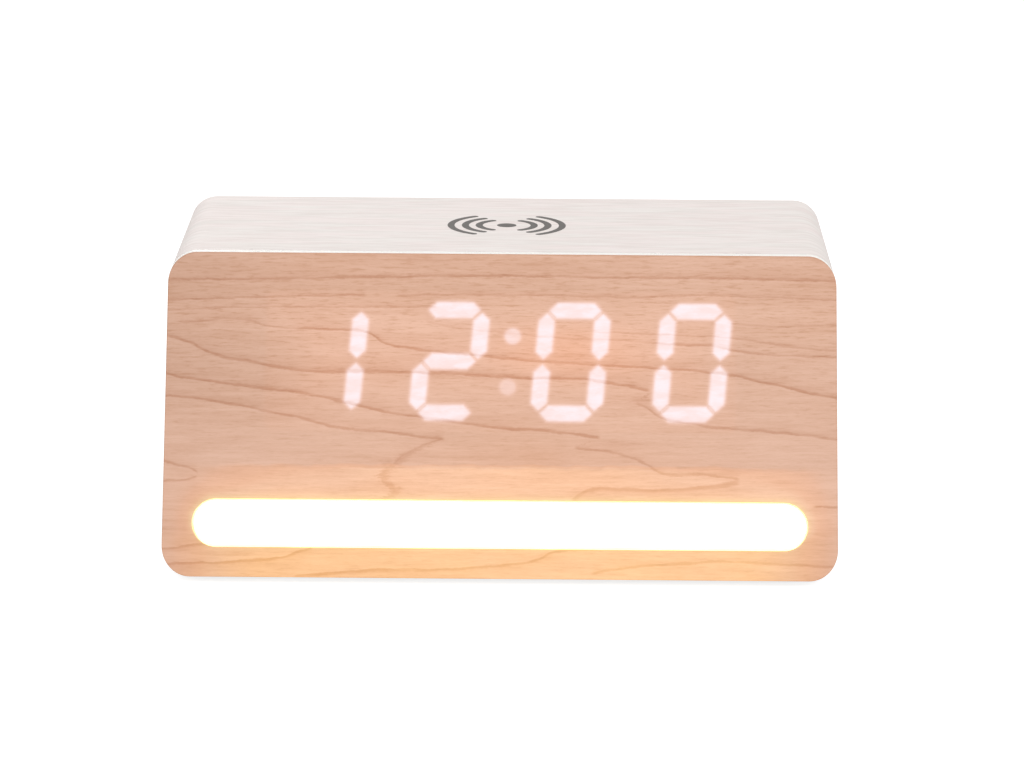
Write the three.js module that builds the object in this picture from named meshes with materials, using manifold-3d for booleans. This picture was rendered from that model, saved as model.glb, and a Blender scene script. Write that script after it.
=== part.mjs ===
// Bedside digital alarm clock with a slanted wooden front, a light bar and a charging top.
// Millimetres. X runs along the width, Y from front to rear, Z up.
// The origin is on the desk, at the middle of the base.
import * as THREE from 'three';
import { mergeVertices } from 'three/addons/utils/BufferGeometryUtils.js';
import Module from 'manifold-3d';

const wasm = await Module();
wasm.setup();

const DEG = Math.PI / 180;

// Body: a tube of rounded section, lying front to rear, with its front cut to a slant.
const WIDTH = 150;
const BODY_HEIGHT = 67;
const BASE_DEPTH = 100;
const LEAN = 25 * DEG;
const CORNER_RADIUS = 6.4;
const WALL = 2.5;
const RABBET_STEP = 1;

// Clearances and cutting allowances.
const SEAT_GAP = 0.3;
const FIT_GAP = 0.2;
const SLIDE_GAP = 0.15;
const OVERRUN = 1;
const BLEND = 0.5;

// Rubber feet, glued into shallow seats.
const FOOT_HEIGHT = 1.5;
const FOOT_SEAT = 0.6;
const FOOT_RADIUS = 5;
const FOOT_EDGE = 0.4;
const FOOT_INSET_SIDE = 17;
const FOOT_INSET_FRONT = 13;
const FOOT_INSET_REAR = 13;

// Layers of the front, measured square to the slanted face.
const VENEER_THICK = 0.4;
const PANEL_THICK = 2;
const PANEL_RIM_THICK = 1.2;
const PANEL_RIM_DEPTH = 5;
const WINDOW_FILM_THICK = 0.4;
const REFLECTOR_DEPTH = 8;
const BOARD_THICK = 1.6;

// Light bar, its diffuser and the tray that lights it.
const BAR_MARGIN = 6.9;
const BAR_HEIGHT = 10.3;
const BAR_CENTRE = 12.3;
const BAR_FLANGE = 0.8;
const BAR_FLANGE_THICK = 1;
const TRAY_WALL = 0.9;
const TRAY_TOP_SHARE = 0.3422;
const TRAY_DEPTH = 12;
const LIGHT_BOARD_MARGIN = 2.1;
const LIGHT_BOARD_SHARE = 0.54;
const LIGHT_BOARD_THICK = 1.2;
const LAMP_COUNT = 12;
const LAMP_WIDTH = 3.5;
const LAMP_HEIGHT = 2.8;
const LAMP_STAND = 0.8;

// Digits: four of seven segments with two dots between the pairs.
const DIGIT_COUNT = 4;
const DIGIT_PITCH_SHARE = 0.24727;
const DIGIT_WIDTH_SHARE = 0.5978;
const DIGIT_HEIGHT_SHARE = 0.36794;
const DIGIT_CENTRE_SHARE = 0.66688;
const DIGIT_SHIFT = 1.95;
const STROKE = 3.7;
const DIGIT_SLANT_SHARE = 0.088;
const ACROSS_TIP_GAP = 0.3;
const UPRIGHT_TIP_GAP = 0.45;
const SHOULDER_ROUND = 0.9;
const DOT_RADIUS = 1.93;
const DOT_RISE_SHARE = 0.2143;
const WELL_FLOOR_SHARE = 0.62;
const DISPLAY_MARGIN = 20.2;
const REFLECTOR_MARGIN = 2.1;
const REFLECTOR_CORNER = 1.2;
const DISPLAY_BOARD_REACH = 6.2;
const DISPLAY_BOARD_MARGIN = 2;
const DIE_LENGTH = 1.6;
const DIE_WIDTH = 0.8;
const DIE_STAND = 0.7;
const DRIVER_CHIP = 9;
const DRIVER_CHIP_THICK = 1.6;

// Screws and the posts that they enter.
const POST_RADIUS = 2.6;
const PILOT_RADIUS = 1.3;
const PILOT_DEPTH = 6.5;
const SHANK_RADIUS = 1;
const SHANK_LENGTH = 5;
const HEAD_RADIUS = 2.1;
const HEAD_HEIGHT = 1.3;
const POST_INSET = 2.8;
const CASE_BOSS_RADIUS = 3.4;
const CASE_BOSS_LENGTH = 13;
const CASE_BOSS_INSET = 12;
const CASE_HEAD_RADIUS = 2.5;
const CASE_SHANK_LENGTH = 9;
const CASE_PILOT_DEPTH = 10;
const CASE_COUNTERBORE = 1;
const RECESS_ARM = 1.4;
const RECESS_WIDTH = 0.5;
const RECESS_DEPTH = 0.8;

// Rear cover.
const COVER_THICK = 2.4;
const COVER_RECESS = 1.2;
const VENT_COUNT = 9;
const VENT_PITCH = 7;
const VENT_WIDTH = 1.8;
const VENT_HEIGHT = 7;
const VENT_INSET = 9.5;
const SOUND_HOLE_RADIUS = 0.8;
const SOUND_RING_RADIUS = 3;
const SOUND_HOLES = 6;

// Push buttons on the rear and the switches behind them.
const BUTTON_NAMES = ['set', 'up', 'down', 'light'];
const BUTTON_PITCH = 13;
const BUTTON_DROP = 9;
const BUTTON_RADIUS = 3.5;
const BUTTON_STAND = 0.9;
const BUTTON_ROUND = 0.5;
const BUTTON_FLANGE_RADIUS = 4.5;
const BUTTON_FLANGE_THICK = 1;
const SWITCH_SIZE = 6;
const SWITCH_HEIGHT = 3.5;
const PLUNGER_RADIUS = 1.6;
const PLUNGER_STAND = 1.5;
const PLUNGER_SEAT = 1;
const SWITCH_BORE_DEPTH = 2.4;

// Main board and sounder.
const MAIN_BOARD_REACH = 18;
const MAIN_BOARD_HEIGHT = 34;
const MAIN_BOARD_DROP = 2;
const MAIN_CHIP_X = 27;
const SOUNDER_SHARE = 0.3;
const SOUNDER_RADIUS = 6;
const SOUNDER_HEIGHT = 5;
const SOUNDER_PORT_RADIUS = 1;

// Round clock battery, its pocket and its twist-off door.
const BATTERY_SHARE = 0.28;
const BATTERY_RISE = 1;
const CELL_RADIUS = 10;
const CELL_THICK = 3.2;
const CELL_STEP = 0.3;
const CELL_GAP = 0.4;
const CONTACT_THICK = 0.3;
const CONTACT_WIDTH = 3;
const DOOR_RADIUS = 12.2;
const DOOR_THICK = 1.2;
const DOOR_GAP = 0.3;
const SKIRT_THICK = 1.1;
const TAB_REACH = 1.8;
const TAB_THICK = 0.9;
const TAB_ANGLE = 34 * DEG;
const DOOR_TURN = 45 * DEG;
const NOTCH_SPARE = 4 * DEG;
const POCKET_WALL = 1.2;
const COIN_SLOT_LENGTH = 14;
const COIN_SLOT_WIDTH = 1.8;
const COIN_SLOT_DEPTH = 0.6;

// Charger board and its USB-C inlet.
const CHARGER_WIDTH = 52;
const CHARGER_DEPTH = 38;
const CHARGER_POST = 3;
const CHARGER_SCREW_INSET = 4;
const CHARGER_CHIP_X = 14;
const USB_WIDTH = 8.94;
const USB_HEIGHT = 3.26;
const USB_LENGTH = 7.35;
const USB_WALL = 0.3;
const USB_BACK = 1;
const USB_GAP = 0.3;
const TONGUE_WIDTH = 6.69;
const TONGUE_THICK = 0.7;
const TONGUE_LENGTH = 4.5;

// Charging coil under the top, with its ferrite sheet and carrier.
const COIL_TURNS = 8;
const COIL_SHARE = 0.3127;
const COIL_INNER_SHARE = 0.479;
const WIRE_SHARE = 0.32;
const FERRITE_THICK = 0.6;
const FERRITE_MARGIN = 1;
const CARRIER_PLATE = 1.5;
const CARRIER_RIM = 1.5;
const CARRIER_EYE_MARGIN = 2.3;
const CARRIER_EAR = 3.6;
const LEAD_SLOT = 5;

// Leads and the flat ribbon between the boards.
const LEAD_RADIUS = 0.7;
const RIBBON_WIDTH = 12;
const RIBBON_THICK = 0.5;
const RIBBON_X = -24;
const PLUG_WIDTH = 15;
const PLUG_HEIGHT = 4;
const PLUG_DEPTH = 3;

// Steps of the round forms.
const ARC_STEPS = 3;
const HOLE_SIDES = 8;
const SMALL_SIDES = 10;
const ROUND_SIDES = 20;
const LARGE_SIDES = 32;
const COIL_STEPS = 24;
const WIRE_SIDES = 6;

// Places that follow from the sizes.
const FLOOR = FOOT_HEIGHT;
const TOP = FLOOR + BODY_HEIGHT;
const MIDDLE = FLOOR + BODY_HEIGHT / 2;
const FRONT = -BASE_DEPTH / 2;
const REAR = BASE_DEPTH / 2;
const INNER_FLOOR = FLOOR + WALL;
const INNER_TOP = TOP - WALL;
const FACE_HEIGHT = BODY_HEIGHT / Math.cos(LEAN);
const TOP_FRONT = FRONT + BODY_HEIGHT * Math.tan(LEAN);
const TOP_CENTRE = (TOP_FRONT + REAR) / 2;
const TOP_DEPTH = REAR - TOP_FRONT;

const PANEL_FRONT = -VENEER_THICK - SEAT_GAP;
const PANEL_BACK = PANEL_FRONT - PANEL_THICK;
const CASE_EDGE = PANEL_BACK - SEAT_GAP;
const FILM_BACK = CASE_EDGE - WINDOW_FILM_THICK;
const REFLECTOR_FRONT = FILM_BACK - SEAT_GAP;
const REFLECTOR_BACK = REFLECTOR_FRONT - REFLECTOR_DEPTH;
const DISPLAY_FRONT = REFLECTOR_BACK - SEAT_GAP;
const DISPLAY_BACK = DISPLAY_FRONT - BOARD_THICK;

const REFLECTOR_WIDTH = WIDTH - 2 * DISPLAY_MARGIN;
const DIGIT_PITCH = REFLECTOR_WIDTH * DIGIT_PITCH_SHARE;
const DIGIT_WIDTH = DIGIT_PITCH * DIGIT_WIDTH_SHARE;
const DIGIT_HEIGHT = FACE_HEIGHT * DIGIT_HEIGHT_SHARE;
const DIGIT_CENTRE = FACE_HEIGHT * DIGIT_CENTRE_SHARE;
const DOT_RISE = DIGIT_HEIGHT * DOT_RISE_SHARE;
const REFLECTOR_HEIGHT = DIGIT_HEIGHT + 2 * REFLECTOR_MARGIN;
const DISPLAY_BOARD_WIDTH = REFLECTOR_WIDTH + 2 * DISPLAY_BOARD_REACH;
const DISPLAY_BOARD_HEIGHT = REFLECTOR_HEIGHT + 2 * DISPLAY_BOARD_MARGIN;

const BAR_LENGTH = WIDTH - 2 * BAR_MARGIN;
const TRAY_TOP = FACE_HEIGHT * TRAY_TOP_SHARE;
const TRAY_BACK = CASE_EDGE - TRAY_DEPTH;
const TRAY_INNER_END = BAR_LENGTH / 2 + BAR_FLANGE + SEAT_GAP;
const TRAY_END = TRAY_INNER_END + TRAY_WALL;
const TRAY_RIDGE = TRAY_TOP + TRAY_WALL;
const TRAY_INSET = WALL + SEAT_GAP + TRAY_WALL;
const LIGHT_BOARD_BACK = TRAY_BACK + TRAY_WALL + SEAT_GAP;
const TRAY_LOW = (TRAY_INSET - LIGHT_BOARD_BACK * Math.sin(LEAN)) / Math.cos(LEAN);
const LIGHT_BOARD_LENGTH = BAR_LENGTH - 2 * LIGHT_BOARD_MARGIN;
const LIGHT_BOARD_HEIGHT = (TRAY_TOP - TRAY_LOW) * LIGHT_BOARD_SHARE;
const LIGHT_BOARD_CENTRE = TRAY_TOP - SEAT_GAP - LIGHT_BOARD_HEIGHT / 2 - LAMP_HEIGHT;

const COVER_FACE = REAR - COVER_RECESS;
const COVER_BACK = COVER_FACE - COVER_THICK;
const CASE_BOSS_X = WIDTH / 2 - WALL - CASE_BOSS_RADIUS + BLEND;
const CASE_BOSS_RISE = BODY_HEIGHT / 2 - CASE_BOSS_INSET;
const FLANGE_BACK = COVER_BACK - SLIDE_GAP - BUTTON_FLANGE_THICK;
const SWITCH_TOP = FLANGE_BACK - PLUNGER_STAND;
const MAIN_REAR = SWITCH_TOP - SWITCH_HEIGHT;
const MAIN_FRONT = MAIN_REAR - BOARD_THICK;
const BATTERY_X = WIDTH * BATTERY_SHARE;
const SOUNDER_X = -WIDTH * SOUNDER_SHARE;
const VENT_Z = TOP - VENT_INSET;
const BUTTON_Z = VENT_Z - BUTTON_DROP;
const MAIN_BOARD_WIDTH = 2 * (BATTERY_X + MAIN_BOARD_REACH);
const MAIN_MIDDLE = VENT_Z - MAIN_BOARD_DROP - MAIN_BOARD_HEIGHT / 2;
const CELL_REAR = COVER_FACE - DOOR_THICK - CELL_GAP;
const CELL_FRONT = CELL_REAR - CELL_THICK;
const POCKET_FLOOR = CELL_FRONT - CONTACT_THICK - FIT_GAP;
const TAB_REAR = COVER_BACK - DOOR_GAP;
const TAB_FRONT = TAB_REAR - TAB_THICK;
const TAB_RADIUS = DOOR_RADIUS + TAB_REACH;
const BATTERY_Z = MIDDLE + BATTERY_RISE;
const CHARGER_BOTTOM = INNER_FLOOR + CHARGER_POST;
const CHARGER_TOP = CHARGER_BOTTOM + BOARD_THICK;
const CHARGER_REAR = COVER_BACK - FIT_GAP;
const CHARGER_FRONT = CHARGER_REAR - CHARGER_DEPTH;
const CHARGER_MIDDLE = (CHARGER_REAR + CHARGER_FRONT) / 2;
const USB_MOUTH = COVER_FACE - FIT_GAP;
const COIL_RADIUS = TOP_DEPTH * COIL_SHARE;
const COIL_INNER_RADIUS = COIL_RADIUS * COIL_INNER_SHARE;
const COIL_PITCH = (COIL_RADIUS - COIL_INNER_RADIUS) / COIL_TURNS;
const WIRE_RADIUS = COIL_PITCH * WIRE_SHARE;
const COIL_TOP = INNER_TOP - SEAT_GAP;
const COIL_LEVEL = COIL_TOP - WIRE_RADIUS;
const FERRITE_TOP = COIL_LEVEL - WIRE_RADIUS - SEAT_GAP;
const CARRIER_TOP = FERRITE_TOP - FERRITE_THICK;
const CARRIER_BOTTOM = CARRIER_TOP - CARRIER_PLATE;
const FERRITE_RADIUS = COIL_RADIUS + FERRITE_MARGIN;
const CARRIER_RADIUS = FERRITE_RADIUS + FIT_GAP + CARRIER_RIM;
const CARRIER_EYE = COIL_INNER_RADIUS - CARRIER_EYE_MARGIN;
const CARRIER_EAR_X = CARRIER_RADIUS + CARRIER_EAR;

// The frame of the slanted face: X along the width, Y up the face, Z out of it.
const face = new THREE.Group();
face.position.set(0, FRONT, FLOOR);
face.rotation.x = Math.PI / 2 - LEAN;
face.updateMatrix();
const bodyToFace = face.matrix.clone().invert();

// Outlines.

function roundedRect(width, height, radius, x = 0, y = 0) {
  const right = width / 2 - radius;
  const top = height / 2 - radius;
  const shape = new THREE.Shape();
  shape.absarc(x + right, y - top, radius, -Math.PI / 2, 0);
  shape.absarc(x + right, y + top, radius, 0, Math.PI / 2);
  shape.absarc(x - right, y + top, radius, Math.PI / 2, Math.PI);
  shape.absarc(x - right, y - top, radius, Math.PI, 1.5 * Math.PI);
  return shape;
}

function rectangle(width, height, x = 0, y = 0) {
  const shape = new THREE.Shape();
  shape.moveTo(x - width / 2, y - height / 2);
  shape.lineTo(x + width / 2, y - height / 2);
  shape.lineTo(x + width / 2, y + height / 2);
  shape.lineTo(x - width / 2, y + height / 2);
  return shape;
}

function polygon(points) {
  return new THREE.Shape(points.map(([x, y]) => new THREE.Vector2(x, y)));
}

function sector(inner, outer, middle, sweep) {
  const shape = new THREE.Shape();
  shape.absarc(0, 0, outer, middle - sweep / 2, middle + sweep / 2);
  shape.absarc(0, 0, inner, middle + sweep / 2, middle - sweep / 2, true);
  return shape;
}

function bodyOutline(inset) {
  const width = WIDTH - 2 * inset;
  const height = BODY_HEIGHT - 2 * inset;
  return roundedRect(width, height, CORNER_RADIUS - inset, 0, MIDDLE);
}

// Closed forms.

function alongZ(shape, low, high, steps = ARC_STEPS) {
  const options = { depth: high - low, bevelEnabled: false, curveSegments: steps };
  const geometry = new THREE.ExtrudeGeometry(shape, options);
  return geometry.translate(0, 0, low);
}

function alongY(shape, low, high, steps = ARC_STEPS) {
  const options = { depth: high - low, bevelEnabled: false, curveSegments: steps };
  const geometry = new THREE.ExtrudeGeometry(shape, options);
  return geometry.rotateX(Math.PI / 2).translate(0, high, 0);
}

// The shape's X lies along Y and its Y along Z.
function alongX(shape, low, high, steps = ARC_STEPS) {
  const options = { depth: high - low, bevelEnabled: false, curveSegments: steps };
  const geometry = new THREE.ExtrudeGeometry(shape, options);
  return geometry.rotateX(Math.PI / 2).rotateZ(Math.PI / 2).translate(low, 0, 0);
}

function block(low, high) {
  const size = high.map((value, axis) => value - low[axis]);
  const middle = high.map((value, axis) => (value + low[axis]) / 2);
  return new THREE.BoxGeometry(...size).translate(...middle);
}

function barY(radius, x, z, low, high, sides = SMALL_SIDES) {
  const geometry = new THREE.CylinderGeometry(radius, radius, high - low, sides);
  return geometry.translate(x, (low + high) / 2, z);
}

function barZ(radius, x, y, low, high, sides = SMALL_SIDES) {
  const geometry = new THREE.CylinderGeometry(radius, radius, high - low, sides);
  return geometry.rotateX(Math.PI / 2).translate(x, y, (low + high) / 2);
}

// A profile of [radius, height] pairs, listed from the bottom up, turned round the Y axis.
function turned(profile, sides = ROUND_SIDES) {
  const points = profile.map(([radius, height]) => new THREE.Vector2(radius, height));
  return new THREE.LatheGeometry(points, sides);
}

function tube(points, radius, sides) {
  const path = new THREE.CatmullRomCurve3(points);
  path.getUtoTmapping = (share) => share;
  const section = new THREE.Shape();
  section.absarc(0, 0, radius, 0, 2 * Math.PI);
  const options = { steps: points.length - 1, curveSegments: sides / 2, extrudePath: path };
  return new THREE.ExtrudeGeometry(section, options);
}

// Joining and cutting.

function solid(geometry) {
  const bare = geometry.clone();
  bare.deleteAttribute('normal');
  bare.deleteAttribute('uv');
  const merged = mergeVertices(bare);
  const corners = merged.index.array;
  const kept = [];
  for (let i = 0; i < corners.length; i += 3) {
    const [a, b, c] = corners.slice(i, i + 3);
    if (a !== b && b !== c && c !== a) {
      kept.push(a, b, c);
    }
  }
  const vertProperties = merged.attributes.position.array;
  const triVerts = new Uint32Array(kept);
  return new wasm.Manifold(new wasm.Mesh({ numProp: 3, vertProperties, triVerts }));
}

function join(base, ...geometries) {
  return geometries.reduce((sum, geometry) => sum.add(solid(geometry)), base);
}

function cut(base, ...geometries) {
  return geometries.reduce((rest, geometry) => rest.subtract(solid(geometry)), base);
}

function common(base, geometry) {
  return base.intersect(solid(geometry));
}

function geometryOf(manifold) {
  const { vertProperties, triVerts } = manifold.getMesh();
  const geometry = new THREE.BufferGeometry();
  geometry.setAttribute('position', new THREE.BufferAttribute(vertProperties, 3));
  geometry.setIndex(new THREE.BufferAttribute(triVerts, 1));
  geometry.computeVertexNormals();
  return geometry;
}

function piece(name, form, look) {
  const geometry = form.isBufferGeometry ? form : geometryOf(form);
  const mesh = new THREE.Mesh(geometry, new THREE.MeshStandardMaterial(look));
  mesh.name = name;
  return mesh;
}

// Looks.

const WHITE_GRAIN = { color: 0xe9e2df, roughness: 0.55, metalness: 0 };
const CHERRY = { color: 0xe0ab8c, roughness: 0.5, metalness: 0 };
const CLEAR = { color: 0xf2efe9, roughness: 0.2, metalness: 0 };
const OPAL = { color: 0xfffaf0, roughness: 0.4, metalness: 0 };
const WHITE_PLASTIC = { color: 0xf0efec, roughness: 0.5, metalness: 0 };
const GREY_PLASTIC = { color: 0xd8d8d5, roughness: 0.5, metalness: 0 };
const DARK_PLASTIC = { color: 0x2a2a2c, roughness: 0.6, metalness: 0 };
const BOARD_GREEN = { color: 0x1f5a3a, roughness: 0.5, metalness: 0 };
const BOARD_WHITE = { color: 0xe8e8e0, roughness: 0.5, metalness: 0 };
const STEEL = { color: 0xb9bcc0, roughness: 0.35, metalness: 1 };
const GOLD = { color: 0xd6b060, roughness: 0.35, metalness: 1 };
const COPPER = { color: 0xb87333, roughness: 0.4, metalness: 1 };
const FERRITE = { color: 0x4a4a4c, roughness: 0.7, metalness: 0.1 };
const RUBBER = { color: 0x3a3a3c, roughness: 0.9, metalness: 0 };

// Housing.

function footPlaces() {
  const x = WIDTH / 2 - FOOT_INSET_SIDE;
  const front = FRONT + FOOT_INSET_FRONT;
  const rear = REAR - FOOT_INSET_REAR;
  return [[-x, front], [x, front], [-x, rear], [x, rear]];
}

function caseScrewPlaces() {
  const low = MIDDLE - CASE_BOSS_RISE;
  const high = MIDDLE + CASE_BOSS_RISE;
  return [[-CASE_BOSS_X, low], [CASE_BOSS_X, low], [-CASE_BOSS_X, high], [CASE_BOSS_X, high]];
}

function chargerScrewPlaces() {
  const x = CHARGER_WIDTH / 2 - CHARGER_SCREW_INSET;
  return [[-x, CHARGER_MIDDLE], [x, CHARGER_MIDDLE]];
}

function carrierScrewPlaces() {
  return [[-CARRIER_EAR_X, TOP_CENTRE], [CARRIER_EAR_X, TOP_CENTRE]];
}

// Everything in front of a plane that lies parallel to the slanted face.
function beforeFace(depth) {
  const low = [-WIDTH, -FACE_HEIGHT, depth];
  const high = [WIDTH, 2 * FACE_HEIGHT, depth + BASE_DEPTH];
  return block(low, high);
}

function housing() {
  let body = solid(alongY(bodyOutline(0), FRONT - OVERRUN, REAR));
  body = cut(body, alongY(bodyOutline(WALL), FRONT - 2 * OVERRUN, REAR + OVERRUN));
  const bossFront = COVER_BACK - CASE_BOSS_LENGTH;
  for (const [x, z] of caseScrewPlaces()) {
    body = join(body, barY(CASE_BOSS_RADIUS, x, z, bossFront, REAR - OVERRUN, ROUND_SIDES));
  }
  for (const [x, y] of carrierScrewPlaces()) {
    body = join(body, barZ(POST_RADIUS, x, y, CARRIER_TOP, INNER_TOP + BLEND));
    body = cut(body, barZ(PILOT_RADIUS, x, y, CARRIER_TOP - OVERRUN, INNER_TOP + BLEND));
  }
  for (const [x, y] of chargerScrewPlaces()) {
    body = join(body, barZ(POST_RADIUS, x, y, INNER_FLOOR - BLEND, CHARGER_BOTTOM));
    body = cut(body, barZ(PILOT_RADIUS, x, y, INNER_FLOOR, CHARGER_BOTTOM + OVERRUN));
  }
  const seatRadius = FOOT_RADIUS + FIT_GAP;
  for (const [x, y] of footPlaces()) {
    body = cut(body, barZ(seatRadius, x, y, FLOOR - OVERRUN, FLOOR + FOOT_SEAT, ROUND_SIDES));
  }
  body = cut(body, alongY(bodyOutline(WALL - RABBET_STEP), COVER_BACK, REAR + OVERRUN));
  for (const [x, z] of caseScrewPlaces()) {
    body = cut(body, barY(PILOT_RADIUS, x, z, COVER_BACK - CASE_PILOT_DEPTH, COVER_BACK + OVERRUN));
  }
  return cut(body, beforeFace(CASE_EDGE).applyMatrix4(face.matrix));
}

function foot() {
  const profile = [
    [0, 0],
    [FOOT_RADIUS - FOOT_EDGE, 0],
    [FOOT_RADIUS, FOOT_EDGE],
    [FOOT_RADIUS, FOOT_HEIGHT + FOOT_SEAT],
    [0, FOOT_HEIGHT + FOOT_SEAT],
  ];
  return turned(profile).rotateX(Math.PI / 2);
}

// Front panel, drawn in the frame of the face.

function bodyPrism(inset) {
  return alongY(bodyOutline(inset), FRONT - BASE_DEPTH, REAR).applyMatrix4(bodyToFace);
}

function faceSlab(inset, low, high) {
  const slab = block([-WIDTH, -FACE_HEIGHT, low], [WIDTH, 2 * FACE_HEIGHT, high]);
  return common(solid(bodyPrism(inset)), slab);
}

function barOutline(margin) {
  const height = BAR_HEIGHT + 2 * margin;
  return roundedRect(BAR_LENGTH + 2 * margin, height, height / 2, 0, BAR_CENTRE);
}

function barPrism(margin, low, high) {
  return alongZ(barOutline(margin), low, high, ARC_STEPS + 1);
}

function displayPostPlaces() {
  const x = DISPLAY_BOARD_WIDTH / 2 - POST_INSET;
  const y = DISPLAY_BOARD_HEIGHT / 2 - POST_INSET;
  return [[-x, -y], [x, -y], [-x, y], [x, y]].map(([u, v]) => [DIGIT_SHIFT + u, DIGIT_CENTRE + v]);
}

function veneer() {
  return cut(faceSlab(0, -VENEER_THICK, 0), barPrism(SEAT_GAP, -VENEER_THICK - OVERRUN, OVERRUN));
}

function frontPanel() {
  const rimBack = PANEL_BACK - PANEL_RIM_DEPTH;
  const rimOuter = faceSlab(WALL + SEAT_GAP, rimBack, PANEL_BACK + BLEND);
  const rimInner = bodyPrism(WALL + SEAT_GAP + PANEL_RIM_THICK);
  const wayEnd = TRAY_END + SEAT_GAP;
  const wayTop = TRAY_RIDGE + SEAT_GAP;
  const trayWay = block([-wayEnd, 0, rimBack - OVERRUN], [wayEnd, wayTop, PANEL_BACK]);
  let panel = faceSlab(0, PANEL_BACK, PANEL_FRONT);
  panel = panel.add(cut(rimOuter, rimInner, trayWay));
  const pilotEnd = REFLECTOR_BACK + PILOT_DEPTH;
  for (const [u, v] of displayPostPlaces()) {
    panel = join(panel, barZ(POST_RADIUS, u, v, DISPLAY_FRONT + SEAT_GAP, PANEL_BACK + BLEND));
    panel = cut(panel, barZ(PILOT_RADIUS, u, v, REFLECTOR_BACK - OVERRUN, pilotEnd));
  }
  return cut(panel, barPrism(SEAT_GAP, PANEL_BACK - OVERRUN, PANEL_FRONT + OVERRUN));
}

function barDiffuser() {
  const plug = solid(barPrism(0, CASE_EDGE, 0));
  return join(plug, barPrism(BAR_FLANGE, CASE_EDGE - BAR_FLANGE_THICK, CASE_EDGE));
}

// Light tray: an open channel whose floor follows the housing's floor.

function lightTray() {
  const outerBox = block([-TRAY_END, 0, TRAY_BACK], [TRAY_END, TRAY_RIDGE, CASE_EDGE]);
  const innerLow = [-TRAY_INNER_END, 0, TRAY_BACK + TRAY_WALL];
  const innerBox = block(innerLow, [TRAY_INNER_END, TRAY_TOP, CASE_EDGE + OVERRUN]);
  const outer = common(solid(outerBox), bodyPrism(WALL + SEAT_GAP));
  const hollow = common(solid(innerBox), bodyPrism(TRAY_INSET));
  const holeRadius = LEAD_RADIUS + SEAT_GAP;
  const leadHole = barZ(holeRadius, 0, LIGHT_BOARD_CENTRE, TRAY_BACK - OVERRUN, LIGHT_BOARD_BACK);
  return cut(outer.subtract(hollow), leadHole);
}

function lightBoard() {
  const boardFront = LIGHT_BOARD_BACK + LIGHT_BOARD_THICK;
  const halfLength = LIGHT_BOARD_LENGTH / 2;
  const low = LIGHT_BOARD_CENTRE - LIGHT_BOARD_HEIGHT / 2;
  const high = LIGHT_BOARD_CENTRE + LIGHT_BOARD_HEIGHT / 2;
  let board = solid(block([-halfLength, low, LIGHT_BOARD_BACK], [halfLength, high, boardFront]));
  const pitch = LIGHT_BOARD_LENGTH / LAMP_COUNT;
  for (let lamp = 0; lamp < LAMP_COUNT; lamp += 1) {
    const x = (lamp + 0.5) * pitch - halfLength;
    const lampLow = [x - LAMP_WIDTH / 2, LIGHT_BOARD_CENTRE - LAMP_HEIGHT / 2, LIGHT_BOARD_BACK];
    const lampHigh = [x + LAMP_WIDTH / 2, LIGHT_BOARD_CENTRE + LAMP_HEIGHT / 2, boardFront + LAMP_STAND];
    board = join(board, block(lampLow, lampHigh));
  }
  return board;
}

// Display: a reflector whose tapered wells give the segments their shape.

// Segments as [across share, up share, upright, outer side, rounded start, rounded end].
const SEGMENT_SHARES = [
  [0, 1, false, 1, true, true],
  [1, 0.5, true, -1, false, true],
  [1, -0.5, true, -1, true, false],
  [0, -1, false, -1, true, true],
  [-1, -0.5, true, 1, true, false],
  [-1, 0.5, true, 1, false, true],
  [0, 0, false, 1, false, false],
];

function segmentLengths() {
  const across = DIGIT_WIDTH - STROKE - 2 * ACROSS_TIP_GAP;
  const upright = (DIGIT_HEIGHT - STROKE) / 2 - 2 * UPRIGHT_TIP_GAP;
  return { across, upright };
}

// The outline lies along X with its outer side up or down.
function segmentPoints(length, side, roundStart, roundEnd) {
  const half = STROKE / 2;
  const end = length / 2;
  const shoulder = end - half;
  const startCut = roundStart ? SHOULDER_ROUND : 0;
  const endCut = roundEnd ? SHOULDER_ROUND : 0;
  const points = [[-end, 0], [-shoulder, -half], [shoulder, -half], [end, 0]];
  if (roundEnd) {
    points.push([shoulder + endCut / 2, half - endCut / 2]);
  }
  points.push([shoulder - endCut / 2, half], [-shoulder + startCut / 2, half]);
  if (roundStart) {
    points.push([-shoulder - startCut / 2, half - startCut / 2]);
  }
  return points.map(([x, y]) => [x, side * y]);
}

function digitCentres() {
  const first = DIGIT_SHIFT - (DIGIT_COUNT - 1) * DIGIT_PITCH / 2;
  return Array.from({ length: DIGIT_COUNT }, (_, index) => first + index * DIGIT_PITCH);
}

// The wells of one display, each with its centre and its outline on the front.
function wells() {
  const { across, upright } = segmentLengths();
  const reach = (DIGIT_WIDTH - STROKE) / 2;
  const rise = (DIGIT_HEIGHT - STROKE) / 2;
  const list = [];
  for (const digitX of digitCentres()) {
    for (const [acrossShare, upShare, isUpright, side, roundStart, roundEnd] of SEGMENT_SHARES) {
      const length = isUpright ? upright : across;
      const flat = segmentPoints(length, side, roundStart, roundEnd);
      const up = upShare * rise;
      const centre = [digitX + acrossShare * reach + DIGIT_SLANT_SHARE * up, DIGIT_CENTRE + up];
      const outline = flat.map(([along, over]) => {
        const [dx, dy] = isUpright ? [-over, along] : [along, over];
        return [centre[0] + dx + DIGIT_SLANT_SHARE * dy, centre[1] + dy];
      });
      list.push({ centre, shape: polygon(outline), isUpright });
    }
  }
  return list;
}

function dotCentres() {
  const rises = [-DOT_RISE, DOT_RISE];
  return rises.map((rise) => [DIGIT_SHIFT + DIGIT_SLANT_SHARE * rise, DIGIT_CENTRE + rise]);
}

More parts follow.
